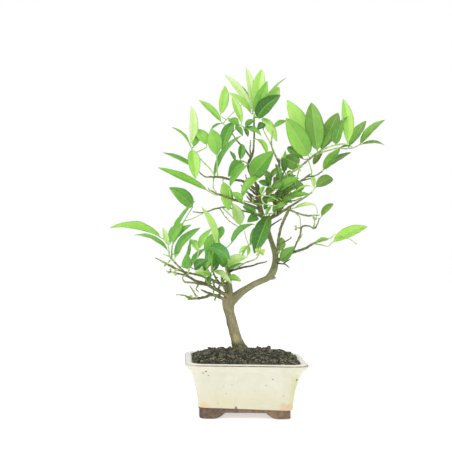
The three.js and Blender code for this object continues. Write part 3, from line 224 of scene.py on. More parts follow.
# Each spray's stems, as such rows, and its leaves: the blade's foot (x, z) and tip (x, z), how much farther
# back the tip is, the width, the roll about its length in degrees, the height of its arch, its tone from
# dark 0 to pale 1, and for some a number above or below 1 that moves the widest place out or in
SPRAYS = {
    "left_tip": ([
        [(-97, 216, -35, 1.5), (-108, 227, -38, 1.4), (-116, 236, -41, 1.2), (-118, 247, -42, 1),
         (-119, 254, -44, 0.9)],
        [(-116, 236, -41, 1), (-126, 239, -44, 0.7)],
        [(-113, 232, -39, 1.2), (-113, 250, -14, 1.1), (-108, 268, 7, 1), (-96, 290, 26, 0.9),
         (-84, 311, 41, 0.8)],
        [(-96, 290, 26, 0.7), (-80, 296, 32, 0.6), (-67, 303, 35, 0.6)],
    ], [
        (-130, 264, -208, 277, -14, 22, 55, 10, 0.68), (-119, 244, -172, 267, 24, 15, 70, 8, 0.55),
        (-120, 253, -128, 281, -22, 9, 20, 3, 0.95), (-116, 256, -97, 287, 26, 17, 30, 4, 0.5),
        (-112, 257, -84, 285, -24, 13, 40, 5, 0.55), (-109, 240, -70, 281, -41, 16, 45, 7, 0.34),
        (-108, 234, -97, 258, 26, 10, 20, 3, 0.78), (-96, 224, -86, 266, 30, 12, 62, 3, 0.42),
        (-112, 262, -79, 322, 12, 20, 66, 4, 0.5), (-83, 313, -120, 341, -22, 24, 20, 6, 0.46),
    ]),
    "left_inner": ([
        [(-88, 208, -32, 1.3), (-87, 214, -44, 1.1), (-84, 222, -55, 1)],
        [(-84, 222, -55, 0.9), (-76, 232, -61, 0.8), (-72, 246, -67, 0.8)],
    ], [
        (-91, 219, -90, 243, -31, 15, 10, 4, 0.38), (-84, 221, -60, 250, 29, 12, 50, 4, 0.5),
        (-78, 218, -57, 232, -29, 15, 30, 4, 0.1), (-72, 250, -53, 280, -26, 12, 30, 4, 0.7),
        (-72, 244, -86, 263, 24, 12, 25, 3, 0.8),
    ]),
    "left_center": ([
        [(-40, 197, 17, 1.8), (-48, 210, 0, 1.4), (-52, 224, -20, 1.2), (-52, 240, -26, 1)],
        [(-52, 240, -26, 0.9), (-45, 250, -29, 0.8), (-43, 262, -32, 0.7)],
    ], [
        (-53, 228, -50, 274, 31, 25, -12, 6, 0.42), (-57, 252, -24, 233, -29, 20, 28, 6, 0.32),
        (-57, 250, -60, 218, -12, 12, 20, 4, 0.6), (-45, 250, -70, 313, -17, 13, 40, 6, 0.92),
        (-44, 262, -37, 284, 14, 12, 15, 3, 0.36), (-42, 262, -39, 247, 14, 8, 20, 2, 0.6),
        (-52, 209, -78, 212, -26, 15, 35, 4, 0.88), (-50, 216, -21, 196, -42, 13, 40, 5, 1),
        (-58, 193, -52, 211, -19, 11, 15, 3, 0.12),
    ]),
    "leader_top": ([
        [(-27, 214, 4, 1.8), (-31, 224, 0, 1.3), (-36, 236, -6, 1.1), (-34, 246, -12, 1),
         (-24, 257, -14, 0.9)],
    ], [
        (-24, 257, 14, 288, 19, 15, 52, 9, 0.55), (-32, 224, 4, 238, -34, 18, 35, 4, 0.92),
    ]),
    "leader_back": ([[(-27, 214, 4, 1.6), (-29, 214, 16, 0.9)]], [(-29, 214, -3, 228, 17, 12, 50, 3, 0.4)]),
    "leader_front": ([
        [(-25, 202, 4, 1.6), (-32, 202.5, -9, 0.9)],
    ], [
        (-33, 202, -6, 200, -26, 14, 40, 3, 0.72),
    ]),
    "bud_twig": ([
        [(-14, 220, -4, 1.2), (0, 229, -17, 1.1), (16, 235.5, -32, 1), (19, 240, -42, 0.8),
         (21.5, 244, -49, 0.7)],
    ], [
        (22, 245, 15, 251, 5, 6, 10, 1, 0.9), (22, 245, 30, 250, -5, 6, 10, 1, 0.9),
    ]),
    "left_arrow": ([
        [(-42, 332, -55, 1.2), (-50, 332, -61, 1), (-58, 336, -67, 0.9)],
    ], [
        (-61, 338, -138, 371, -19, 15, 50, 1, 0.54),
    ]),
    "left_fan": ([
        [(-50, 360, -49, 1.1), (-56, 369, -55, 1), (-68, 381, -61, 0.95), (-80, 393, -67, 0.9),
         (-87, 402, -70, 0.9), (-89, 407, -71, 0.8)],
    ], [
        (-88, 406, -89, 467, 17, 14, 30, 5, 1), (-89, 405, -118, 433, -26, 11, 65, 4, 0.5),
        (-88, 401, -80, 355, -12, 18, 12, 5, 0.74), (-64, 408, -82, 431, 12, 18, 25, 4, 0.62),
        (-84, 404, -74, 422, 10, 11, 30, 3, 0.42),
    ]),
    "left_mid_tip": ([
        [(-76, 368, -68, 0.8), (-79, 371, -70, 0.7)],
    ], [
        (-80, 372, -131, 394, 7, 11, 50, 2, 0.38),
    ]),
    "left_mid_top": ([
        [(-46, 359, -46, 1.1), (-47, 374, -49, 0.9), (-48, 388, -52, 0.8)],
    ], [
        (-48, 391, -58, 433, -24, 22, 8, 5, 0.6, 1.3), (-51, 360, -10, 424, 24, 13, 55, 9, 0.42),
    ]),
    "left_hang": ([
        [(-36, 357, -38, 1), (-38, 354, -41, 0.9)],
    ], [
        (-38, 353, -28, 308, 14, 20, 18, 4, 0.72),
    ]),
    "left_low_leaf": ([
        [(-26, 328, -42, 1), (-28, 343, -44, 0.8)],
    ], [
        (-28, 343, 0, 379, -19, 14, 50, 6, 0.45),
    ]),
    "crown_left": ([
        [(1, 380, 29, 1.3), (-6, 384, 20, 1.1), (-12, 385, 12, 1), (-20, 383, 6, 0.8)],
    ], [
        (-9, 383, -30, 360, -22, 20, 15, 4, 0.42), (-12, 384, -10, 411, 17, 12, 10, 3, 0.22),
        (-19, 383, -29, 400, 12, 8, 40, 2, 0.24),
    ]),
    "whisker_leaf": ([
        [(-38, 313, 44, 1), (-25, 301, 41, 0.9), (-12, 289, 36, 0.9), (-8, 285, 35, 0.8)],
    ], [
        (-8, 286, -23, 320, -14, 18, 12, 4, 0.93),
    ]),
    "upper_left": ([
        [(-18, 416, 49, 1.2), (-26, 427, 55, 1.1), (-36, 438, 61, 1), (-41, 442, 64, 0.9)],
        [(-40, 441, 62, 0.8), (-28, 455, 58, 0.7), (-14, 469, 52, 0.7), (-3, 480, 46, 0.6)],
        [(-26, 427, 55, 0.8), (-19, 435, 61, 0.7), (-14, 440, 65, 0.7)],
    ], [
        (-43, 444, -78, 476, 17, 14, 40, 4, 0.66), (-44, 455, -38, 500, 10, 16, 8, 4, 0.84),
        (-42, 441, -58, 431, -24, 8, 60, 2, 0.28), (-25, 444, -40, 399, -26, 19, 15, 4, 0.28),
        (-13, 441, -33, 447, -17, 13, 25, 3, 0.55),
    ]),
    "top_left": ([
        [(8, 430, 25, 1.1), (0, 434, 32, 1), (-10, 438, 41, 1), (-14, 440, 44, 0.9)],
    ], [
        (-11, 443, -27, 483, 19, 13, 25, 4, 0.88), (-6, 437, 10, 448, -22, 11, 30, 3, 0.28),
        (-6, 436, 20, 424, -40, 12, 45, 4, 0.5), (-20, 438, -9, 423, -17, 10, 25, 3, 0.24),
        (-8, 435, -1, 422, 12, 8, 30, 2, 0.24),
    ]),
    "crown_side": ([[(8, 418, 26, 1.1), (11, 420, 20, 0.8)]], [(11, 420, 29, 396, -19, 11, 45, 5, 0.75)]),
    "top": ([
        [(8, 452, 22, 1.1), (10, 462, 19, 0.9), (16, 470, 14, 0.8), (24, 480, 9, 0.7)],
    ], [
        (6, 458, -7, 530, 22, 15, 35, 6, 1), (11, 466, 18, 526, 31, 19, -5, 5, 0.88),
        (10, 456, 27, 509, -19, 19, 10, 5, 0.48), (12, 452, 48, 488, -36, 24, 20, 6, 0.1),
        (24, 468, 45, 501, 24, 18, 12, 4, 0.9), (28, 482, 57, 515, 31, 8, 62, 3, 0.5),
        (5, 458, -12, 500, 26, 9, 70, 3, 0.45), (3, 466, -39, 516, -7, 13, 35, 6, 0.97),
        (3, 458, -34, 489, -31, 13, 45, 5, 0.93), (20, 452, 44, 416, -19, 15, 20, 6, 0.9),
    ]),
    "top_right": ([
        [(47, 385, 0, 1.5), (41, 397, -12, 1.3), (35.5, 411, -20, 1.3), (36, 425, -26, 1.1),
         (37.5, 438, -32, 1), (33, 447, -35, 0.8)],
        [(35, 411, -20, 1), (28, 423, -29, 0.9), (22, 434, -38, 0.8)],
        [(43.5, 392, -7, 0.9), (50, 388, -10, 0.7)],
    ], [
        (24, 443, 13, 433, -14, 11, 20, 2, 0.04), (39, 436, 57, 449, 17, 10, 35, 3, 0.4),
        (53, 388, 57, 403, -5, 6, 25, 2, 0.55),
    ]),
    "crown_front": ([
        [(13, 350, 19, 1.4), (10, 358, 9, 1), (14, 363, 0, 0.8)],
    ], [
        (20, 362, -9, 327, -24, 17, 40, 9, 0.65), (6, 361, 40, 402, -41, 29, 15, 6, 0.35),
    ]),
    "center_hang": ([
        [(24, 301, 13, 1.6), (28, 304, 3, 1.1), (36, 305, -6, 0.9)],
    ], [
        (37, 305, 13, 243, -26, 24, 14, 6, 0.12, 1), (42, 307, 55, 318, -6, 6, 30, 2, 0.75),
    ]),
    "center_back": ([
        [(22, 307, 12, 1.4), (16, 304, 3, 0.9)],
    ], [
        (14, 306, -6, 316, 14, 13, 20, 3, 0.4), (16, 300, 1, 291, -14, 14, 15, 3, 0.24),
    ]),
    "small_center": ([
        [(36, 270, 12, 1.4), (26, 263, 0, 1.1), (14, 259, -12, 1), (4, 256, -20, 0.9)],
        [(4, 256, -20, 0.7), (0, 266, -17, 0.6), (-3, 277, -14, 0.6)],
    ], [
        (3, 256, -10, 240, -17, 8, 45, 2, 0.85), (3, 255, -5, 238, 14, 8, 50, 2, 0.75),
        (4, 255, 2, 239, -22, 7, 30, 2, 0.75), (5, 258, 12, 283, 19, 9, 20, 3, 0.5),
        (6, 257, 16, 262, 10, 7, 40, 2, 0.8),
    ]),
    "right_bough": ([
        [(85, 382, -32, 1.4), (95, 391, -39, 1.5), (101, 396, -42, 1.6), (109, 402, -48, 1.4),
         (120, 408, -55, 1.2), (133, 413, -62, 1.1), (146, 415.5, -68, 1), (155, 415, -74, 0.8)],
        [(100, 396, -42, 1.3), (112, 401, -38, 1.2), (125, 405, -32, 1.1), (140, 409, -25, 1.1),
         (152, 408.5, -19, 1.1), (165, 411, -13, 1), (174, 416, -9, 0.8)],
    ], [
        (93, 396, 57, 453, -26, 30, 12, 6, 0.5), (94, 402, 58, 481, 19, 29, 18, 6, 0.85),
        (107, 404, 96, 478, 7, 28, 6, 6, 0.48), (111, 405, 138, 464, 26, 25, 18, 5, 0.34),
        (112, 404, 154, 459, -26, 13, 42, 4, 0.28), (113, 404, 129, 432, 36, 12, 20, 3, 0.28),
        (116, 402, 101, 383, 17, 11, 30, 2, 0.18), (134, 415, 146, 452, -19, 16, 20, 3, 0.34),
        (154, 417, 145, 486, 12, 18, 20, 5, 0.8), (140, 411, 161, 412, -22, 7, 50, 2, 0.35),
        (156, 412, 182, 453, 24, 17, 25, 4, 0.48), (172, 416, 212, 455, -17, 15, 35, 4, 0.5),
        (175, 417, 212, 415, 26, 9, 60, 5, 0.56),
    ]),
    "right_pair": ([
        [(108, 367, 27, 1), (114, 372, 22, 0.9), (119, 376, 20, 0.8)],
    ], [
        (115, 374, 143, 409, -12, 17, 25, 4, 0.56), (119, 376, 160, 403, 22, 12, 45, 4, 0.14),
    ]),
    "right_dark_tip": ([
        [(95, 366.2, 50, 1.3), (99, 369, 55, 1.1), (97, 378, 57, 0.9), (92, 391, 56, 0.8)],
    ], [
        (99, 368, 103, 346, -4, 9, 25, 2, 0.9), (86, 390, 60, 408, 10, 15, 20, 3, 0.2, 1.3),
    ]),
    "right_mid_tip": ([
        [(97, 337, -52, 1), (101, 342, -52, 0.8), (105, 347, -52, 0.8)],
    ], [
        (105, 347, 132, 362, 19, 17, 22, 5, 0.26),
    ]),
    "cluster": ([
        [(42, 334, -3, 1.8), (54, 337, -12, 1.6), (66, 341, -20, 1.3), (72, 344, -26, 1)],
        [(48, 335, -7, 1.5), (52, 344, -17, 1.1), (55, 351, -25, 0.9)],
    ], [
        (76, 341, 101, 349, 17, 7, 55, 3, 0.85), (57, 330, 97, 337, -29, 12, 45, 3, 0.46),
        (50, 322, 74, 330, -34, 11, 35, 3, 0.42), (62, 342, 86, 352, 20, 13, 30, 3, 0.36),
        (47, 332, 30, 322, -22, 10, 35, 3, 0.44), (48, 342, 80, 361, -30, 17, 25, 4, 0.42),
        (50, 358, 42, 382, 6, 8, 25, 3, 0.2), (56, 356, 38, 345, 6, 12, 20, 3, 0.2),
        (44, 343, 48, 355, 2, 9, 20, 2, 0.5), (55, 352, 75, 365, 6, 9, 35, 3, 0.2),
    ]),
    "cluster_left": ([
        [(34, 332.6, 3, 1.5), (35, 335, -7, 1.1), (42, 341, -17, 0.8)],
        [(35, 335, -7, 1), (35, 329, -14, 0.8)],
        [(42, 341, -17, 0.8), (34, 346, -22, 0.9), (27, 339, -25, 0.9), (22, 330, -26, 0.9),
         (25, 322, -25, 0.9), (36, 318, -23, 0.8), (46, 318, -20, 0.7)],
    ], [
        (39, 345, 29, 335, -10, 10, 20, 3, 0.02), (34, 330, 23, 324, -10, 11, 15, 2, 0.06),
        (21, 335, 26, 347, 6, 8, 25, 2, 0.5), (38, 316, 30, 302, -5, 7, 30, 2, 0.42),
        (34, 320, 26, 313, 8, 8, 25, 2, 0.06),
    ]),
    "cluster_top": ([
        [(72, 348.5, 24, 1.2), (75, 357, 16, 1), (78, 369, 12, 0.9), (80, 380, 10, 0.8)],
    ], [
        (79, 380, 53, 393, -14, 24, 12, 4, 0.32, 1), (77, 360, 78, 339, -16, 11, 30, 3, 0.34),
    ]),
    "right_low_tip": ([
        [(101, 259, -57, 1.6), (112, 264, -64, 1.5), (124, 267, -71, 1.2), (131, 270, -75, 1),
         (138, 276, -78, 0.8)],
        [(104, 260.5, -59, 1), (118, 258.5, -67, 0.8), (127, 257, -71, 0.7), (133, 263, -74, 0.7)],
        [(138, 276, -78, 0.75), (150, 272, -72, 0.7), (160, 269, -68, 0.65), (172, 261, -64, 0.6)],
    ], [
        (133, 264, 188, 289, 17, 18, 28, 4, 0.72), (104, 262, 128, 268, -24, 10, 55, 2, 0.55),
    ]),
    "zigzag_tip": ([
        [(111, 296, 32, 0.8), (115, 302, 33, 0.7)],
    ], [
        (115, 303, 134, 323, 17, 12, 35, 3, 0.5),
    ]),
    "riser_leaf": ([[(49, 243, -25, 1.2), (52, 246, -22, 0.8)]], [(52, 246, 55, 269, 14, 13, 20, 2, 0.52)]),
    "fork_leaf": ([
        [(50, 233, -6, 1.6), (52.5, 232.5, -17, 0.9)],
    ], [
        (53, 233, 76, 256, -26, 17, 22, 4, 0.34),
    ]),
    "arc": ([
        [(66, 313, -35, 1), (78, 316, -26, 0.8), (92, 321, -17, 0.8), (104, 321, -9, 0.7),
         (109, 312, -3, 0.7), (108, 299, 3, 0.6)],
    ], [
        (72, 314, 106, 321, -19, 9, 50, 3, 0.85),
    ]),
}

# Young shoots, curls and stubs too slight for the solids, as rows of the same kind
FINE_SHOOTS = {
    "whisker_twin": [(-42, 312, 44, 0.7), (-34, 300, 48, 0.6), (-24, 291, 49, 0.6), (-12, 283, 48, 0.6)],
    "zigzag_shoot": [(104, 285.5, 25, 0.9), (105, 292, 23, 0.8), (105, 298, 22, 0.6)],
    "arc_twin": [(76, 307, -46, 0.7), (81, 302, -44, 0.6), (83, 294, -41, 0.6), (83, 286, -38, 0.5)],
    "curl_high": [
        (8, 321, -12, 0.8), (11, 330, -32, 0.7), (24, 333, -44, 0.7), (38, 331, -49, 0.7),
        (47, 326, -52, 0.6),
    ],
    "tendril": [(-52, 357, -52, 0.7), (-52.5, 348, -55, 0.6), (-52, 341, -57, 0.6), (-48, 337, -58, 0.5)],
    "short_stub": [(81, 265, -8, 0.9), (84, 269, -6, 0.8), (86.5, 274, -5, 0.7)],
    "cluster_shoot": [(66, 370, -19, 0.8), (72, 362, -22, 0.7), (74, 352, -24, 0.6)],
    "pale_shoot": [(19, 317, 14, 1.2), (22, 319, 0, 1.1), (10, 321, -9, 1), (-2, 323, -14, 0.8)],
}

# Short woody spurs beside the crown, and dry or tangled twigs among the limbs and in the thicket
SPURS = {
    "spur_a": [(17, 333, 14, 2), (12, 335.5, 7, 1.7), (7, 340, 3, 1.5), (3, 343, 1, 1.2)],
    "spur_b": [(18, 322, 14, 2), (10, 325, 6, 1.6), (5, 330, 2, 1.4), (1, 336, 0, 1.1)],
    "spur_c": [(19, 318, 14, 1.8), (8, 322, 4, 1.5), (3, 327, 0, 1.3), (0, 330, -2, 1.1)],
    "spur_d": [(16, 346, 12, 1.8), (13, 351, 8, 1.5), (10, 354, 5, 1.2)],
    "spur_e": [(17, 342, 12, 1.7), (10, 344, 6, 1.5), (5, 348, 3, 1.2)],
    "spur_f": [(31, 332, 4, 1.8), (38, 326, -3, 1.6), (45, 319, -8, 1.5), (51, 313, -12, 1.2)],
    "spur_g": [(46, 303, -10, 1.6), (52, 311, -16, 1.4), (57, 318, -21, 1.2)],
    "dead_twig_fork": [(58, 228.3, -12, 0.9), (63, 232, -15, 0.8), (67, 235, -17, 0.6)],
    "tangle_a": [(-42, 186, -14, 1.5), (-39, 193, -18, 1.3), (-32, 202, -20, 1)],
    "tangle_b": [(-52, 190.5, -20, 1.3), (-48, 186, -26, 1.2), (-48, 180, -29, 0.9)],
    "tangle_c": [(-53, 192, -21, 1.3), (-57, 197, -27, 1.1), (-61, 203, -31, 0.8)],
    "tangle_d": [(-76, 199.5, -29, 1.2), (-72, 193, -34, 1.1), (-75, 187, -37, 0.9), (-72, 184, -39, 0.7)],
    "tangle_e": [(-28, 182, -4, 1.8), (-32, 191, -12, 1.4), (-36, 199, -19, 1.2), (-37, 208, -25, 0.9)],
    "tangle_f": [(-44, 187, -15, 1.4), (-48, 195, -10, 1.2), (-44, 204, -6, 0.9)],
    "tangle_g": [(-34, 182, -10, 1.4), (-42, 178, -18, 1.2), (-46, 172, -24, 0.9)],
    "thicket_a": [
        (33, 326, 8, 2.2), (46, 325, 7, 1.8), (58, 334, 12, 1.6), (70, 345, 20, 1.4), (81, 355, 31, 1.1),
    ],
    "thicket_b": [(40, 331, 4, 1.5), (50, 343, -2, 1.3), (58, 352, -6, 1.1), (63, 361, -8, 0.8)],
    "thicket_c": [(44, 333, 0, 1.5), (56, 330, -5, 1.3), (68, 336, -9, 1.1), (80, 345, -13, 0.8)],
    "thicket_d": [(36, 341, 3, 1.5), (30, 352, -2, 1.2), (28, 362, -4, 0.9)],
    "thicket_e": [(17, 335, 13, 1.6), (8, 345, 6, 1.3), (2, 353, 2, 1.1), (-3, 361, -2, 0.8)],
    "thicket_f": [(18, 326, 14, 1.6), (6, 333, 6, 1.3), (-3, 340, 2, 1), (-9, 347, 0, 0.8)],
    "thicket_g": [(45, 362, -1, 1.5), (52, 352, 4, 1.2), (60, 344, 8, 1), (68, 338, 10, 0.8)],
    "thicket_h": [(48, 376, 0, 1.5), (54, 364, 6, 1.2), (62, 354, 10, 1), (70, 346, 14, 0.8)],
    "thicket_i": [(50, 334, 8, 1.5), (60, 328, 4, 1.2), (72, 326, 0, 1), (82, 330, -2, 0.8)],
    "thicket_j": [(36, 298, 3, 1.6), (48, 310, 6, 1.3), (60, 321, 8, 1.1), (71, 334, 8, 0.8)],
}
# Stems and leaves too small for the solids, in the thicket of the crown and low on the left
SMALL_SPRAYS = [
    ([
        [(39, 346, 0, 1.2), (42, 347, -8, 0.9), (48, 343, -15, 0.8)],
        [(39, 346, 0, 1.1), (34, 347, -7, 0.8)],
    ], [
        (37, 338, 48, 352, -6, 8, 25, 2, 0.08), (48, 339, 66, 347, -8, 9, 30, 2, 0.25),
        (33, 348, 30, 359, -5, 8, 20, 2, 0.12),
    ]),
    ([
        [(40, 331, 5, 1.3), (45, 331, -5, 1), (50, 329, -14, 0.9), (54, 326, -20, 0.8)],
    ], [
        (47, 330, 33, 323.5, -8, 8, 30, 2, 0.7), (54, 325.5, 69, 332, -8, 9, 35, 2, 0.35),
        (46, 326, 56, 319, -6, 7, 25, 2, 0.06), (50, 330, 58, 341, -4, 8, 20, 2, 0.04),
    ]),
    ([
        [(45, 302, -9, 1.3), (45, 308, -15, 0.9), (44, 313, -19, 0.8)],
    ], [
        (46, 313, 61, 322, -6, 9, 30, 2, 0.55), (42, 308, 41, 320, -5, 8, 20, 2, 0.3),
        (47, 311, 57, 313, -5, 7, 40, 2, 0.4),
    ]),
    ([
        [(48, 376, 0, 1.4), (54, 372, -4, 1), (58, 368, -8, 0.8), (60, 361, -11, 0.7)],
    ], [
        (58, 369, 52, 393, -5, 11, 20, 3, 0.06), (61, 361, 75, 357, -6, 8, 35, 2, 0.32),
        (56, 370, 47, 358, -6, 9, 30, 2, 0.2), (60, 364, 70, 371, -4, 8, 30, 2, 0.1),
    ]),
    ([
        [(82, 356, 35, 1.2), (82, 353, 30, 0.8)],
        [(70, 347, 22, 1.5), (74, 346, 16, 0.9)],
    ], [
        (82, 353, 84, 342, -5, 8, 20, 2, 0.1), (74, 346, 84, 339, -5, 8, 30, 2, 0.2),
    ]),
    ([
        [(-5, 320, -23, 1.3), (-6, 322, -29, 0.8)],
    ], [
        (-6, 322, -25, 336, -12, 12, 25, 4, 0.6), (-7, 322, -22, 323, -8, 9, 45, 2, 0.7),
    ]),
    ([
        [(29, 331, 6, 1.5), (34, 340, 14, 1.1), (36, 352, 22, 0.9), (34, 362, 28, 0.8)],
        [(34, 340, 14, 1), (44, 346, 20, 0.9), (52, 352, 26, 0.7)],
    ], [
        (35, 350, 27, 372, 6, 10, 20, 3, 0.3), (35, 358, 46, 376, 5, 9, 25, 2, 0.36),
        (47, 349, 60, 362, 5, 9, 30, 2, 0.22), (35, 347, 17, 354, 4, 10, 25, 3, 0.3),
        (44, 347, 41, 362, 4, 9, 20, 2, 0.12),
    ]),
    ([
        [(40, 331, 5, 1.4), (46, 330, 14, 1), (54, 329, 20, 0.8)],
        [(36, 331, 5, 1.3), (34, 327, 12, 0.9)],
    ], [
        (42, 329, 44, 311, 4, 10, 20, 3, 0.14), (46, 331, 62, 319, 4, 10, 25, 3, 0.3),
        (52, 331, 70, 323, 4, 10, 35, 2, 0.4), (35, 327, 26, 318, 4, 8, 20, 2, 0.22),
        (48, 329, 57, 343, 4, 9, 25, 2, 0.1),
    ]),
    ([
        [(62, 367, -16, 1.3), (60, 363, -8, 0.9), (56, 358, 0, 0.7)],
        [(66, 369, -20, 1.1), (68, 363, -14, 0.8)],
    ], [
        (58, 361, 49, 349, 4, 9, 20, 2, 0.3), (68, 363, 76, 352, 4, 8, 25, 2, 0.3),
        (56, 359, 66, 351, 4, 9, 30, 2, 0.2),
    ]),
    ([
        [(-55, 203, 32, 1.5), (-53, 212, 20, 1.1), (-47, 222, 8, 0.9)],
        [(-26, 208, 4, 1.6), (-29, 214, -2, 1.1), (-31, 221, -6, 0.9)],
        [(-60, 195, -24, 1.5), (-60, 203, -16, 1), (-66, 214, -12, 0.8)],
    ], [
        (-47, 222, -63, 250, -10, 18, 20, 5, 0.34), (-31, 221, -50, 245, -14, 17, 25, 5, 0.3),
        (-52, 213, -46, 240, -10, 13, 30, 4, 0.22), (-67, 215, -50, 231, -6, 12, 35, 3, 0.16),
        (-47, 223, -34, 246, -6, 12, 20, 4, 0.4),
    ]),
]
# Buds at the tips of twigs: the twig's end, and each leaflet's foot and tip. The rest of a leaflet's row
# is the same for all.
BUDS = [
    ([(-118, 223.5, 78, 1.3), (-122, 227, 76, 0.9)], [
        (-120, 226, -129, 227.5), (-119, 225, -114, 231), (-117, 224, -109, 220), (-120, 225, -124, 220),
    ]),
    ([(-109, 211.5, -52, 1.3), (-113, 212.5, -56, 0.9)], [
        (-110, 212, -103, 217), (-111, 212, -105, 207), (-113, 212.5, -119, 210), (-113, 213, -116, 218),
    ]),
    ([(-73, 173, -42, 1.6), (-81, 173.5, -47, 1.1)], [
        (-80, 173.5, -88, 170), (-79, 173.5, -85, 178), (-76, 173.5, -71, 178), (-81, 173.5, -91, 174.5),
    ]),
    ([(76, 374.8, -25.7, 1.4), (79, 378, -29, 0.8)], [
        (79, 378, 85, 378), (79, 378, 76, 384), (78, 377, 81, 371),
    ]),
    ([(105, 292, 23, 0.8), (105, 298, 22, 0.7)], [(105, 297, 102, 303), (105, 296, 109, 301)]),
    ([(81, 284.4, 5, 0.9), (78, 284.5, 2, 0.7)], [(78, 284.5, 74, 287), (78, 284.5, 76, 280)]),
    ([(20.5, 242.5, -46, 0.9), (21.7, 244.5, -50, 0.7)], [
        (22, 245, 20.5, 254), (22, 245, 16, 240), (22, 245, 28, 241),
    ]),
]
BUD_LEAFLET = (-2, 4, 20, 1, 0.8)
DRY = ("cross_twig", "dead_twig_low", "dead_twig_mid", "dead_twig_riser", "dead_twig_fork")
GREEN_LIMBS = ("long_right",)


# Numbers and shapes

def unit(vector):
    return vector / np.linalg.norm(vector, axis=-1, keepdims=True)


def smoothstep(low, high, value):
    part = np.clip((value - low) / (high - low), 0, 1)
    return part * part * (3 - 2 * part)


def seen(x, z, y):
    """The real point at depth y on the sight line through (x, z) of the plane y = 0."""
    return EYE + (np.array([x, 0, z]) - EYE) * (y - EYE[1]) / -EYE[1]


def in_metres(points, zero=ROWS_ZERO):
    """Millimetres from one of the two zeros as metres in the frame."""
    return np.asarray(points) * MILLIMETRE + zero


def scattered(cells, seed):
    """A number between 0 and 1 for each whole-number cell, the same on every run."""
    x, y, z = (cells[..., axis].astype(np.int64).astype(np.uint64) for axis in range(3))
    mixed = x * np.uint64(73856093) ^ y * np.uint64(19349663) ^ z * np.uint64(83492791)
    mixed = (mixed ^ np.uint64(seed * 7919 + 17)) * np.uint64(2654435761)
    mixed = (mixed ^ (mixed >> np.uint64(15))) * np.uint64(1274126177)
    mixed = mixed ^ (mixed >> np.uint64(13))
    return (mixed & np.uint64(0xFFFFFF)).astype(float) / 0xFFFFFF


def soft_noise(points, seed=0):
    """Smooth noise between -1 and 1 with features about one unit across."""
    points = np.asarray(points, float)
    cells = np.floor(points)
    part = points - cells
    part = part * part * (3 - 2 * part)
    total = 0
    for corner in np.ndindex(2, 2, 2):
        weight = np.prod(np.where(np.array(corner) == 1, part, 1 - part), axis=-1)
        total = total + weight * scattered(cells + np.array(corner), seed)
    return 2 * total - 1


def smooth_curve(part, length, start, end, start_slope, end_slope):
    """The value at a part of the way between two values that are met with these slopes."""
    return (
        (2 * part**3 - 3 * part**2 + 1) * start
        + (part**3 - 2 * part**2 + part) * length * start_slope
        + (3 * part**2 - 2 * part**3) * end
        + (part**3 - part**2) * length * end_slope
    )


def smooth_path(rows, spacing):
    """Points, radii and distances travelled along one smooth path through rows of (x, z, y, radius)."""
    nodes = np.array([[*seen(x, z, y), radius] for x, z, y, radius in rows])
    lengths = np.linalg.norm(np.diff(nodes[:, :3], axis=0), axis=1)
    places = np.concatenate([[0], np.cumsum(lengths)])
    if len(rows) > 2:
        slopes = np.gradient(nodes, places, axis=0)
    else:
        slopes = np.repeat(np.diff(nodes, axis=0) / lengths[:, None], 2, axis=0)
    samples = np.linspace(0, places[-1], max(3, math.ceil(places[-1] / spacing)) + 1)
    before = np.clip(np.searchsorted(places, samples, side="right") - 1, 0, len(rows) - 2)
    length = lengths[before][:, None]
    part = (samples - places[before])[:, None] / length
    curve = smooth_curve(part, length, nodes[before], nodes[before + 1], slopes[before], slopes[before + 1])
    return curve[:, :3], curve[:, 3], samples


def frames_along(path):
    """The direction of travel, a normal and a sideways direction at each point of a path."""
    tangents = unit(np.gradient(path, axis=0))
    normal = np.array([0.0, 0.0, 1.0])
    if abs(tangents[0] @ normal) > 0.95:
        normal = np.array([0.0, 1.0, 0.0])
    normals = []
    for tangent in tangents:
        normal = unit(normal - (normal @ tangent) * tangent)
        normals.append(normal)
    normals = np.array(normals)
    return tangents, normals, np.cross(tangents, normals)


def with_round_end(path, radii):
    """The path with a few more points, so that a tube on it closes in a round end."""
    tangent = unit(path[-1] - path[-2])
    turns = np.radians([30, 60, 80])
    extra = path[-1] + np.outer(np.sin(turns) * radii[-1], tangent)
    return np.vstack([path, extra]), np.concatenate([radii, radii[-1] * np.cos(turns)])


def tube_rings(path, radii, sides):
    _, normals, sideways = frames_along(path)
    turn = np.linspace(0, 2 * math.pi, sides, endpoint=False)
    across = normals[:, None] * np.cos(turn)[:, None] + sideways[:, None] * np.sin(turn)[:, None]
    return path[:, None] + across * radii[:, None, None]


def new_object(name, data):
    """An object in the scene for this mesh, light or camera."""
    made = bpy.data.objects.new(name, data)
    bpy.context.scene.collection.objects.link(made)
    return made


def store_value(mesh, name, value):
    """Keeps a number or a vector for each point of a mesh, for its finish or tree to read."""
    is_vector = value.ndim == 2
    attribute = mesh.attributes.new(name, "FLOAT_VECTOR" if is_vector else "FLOAT", "POINT")
    attribute.data.foreach_set("vector" if is_vector else "value", value.ravel())


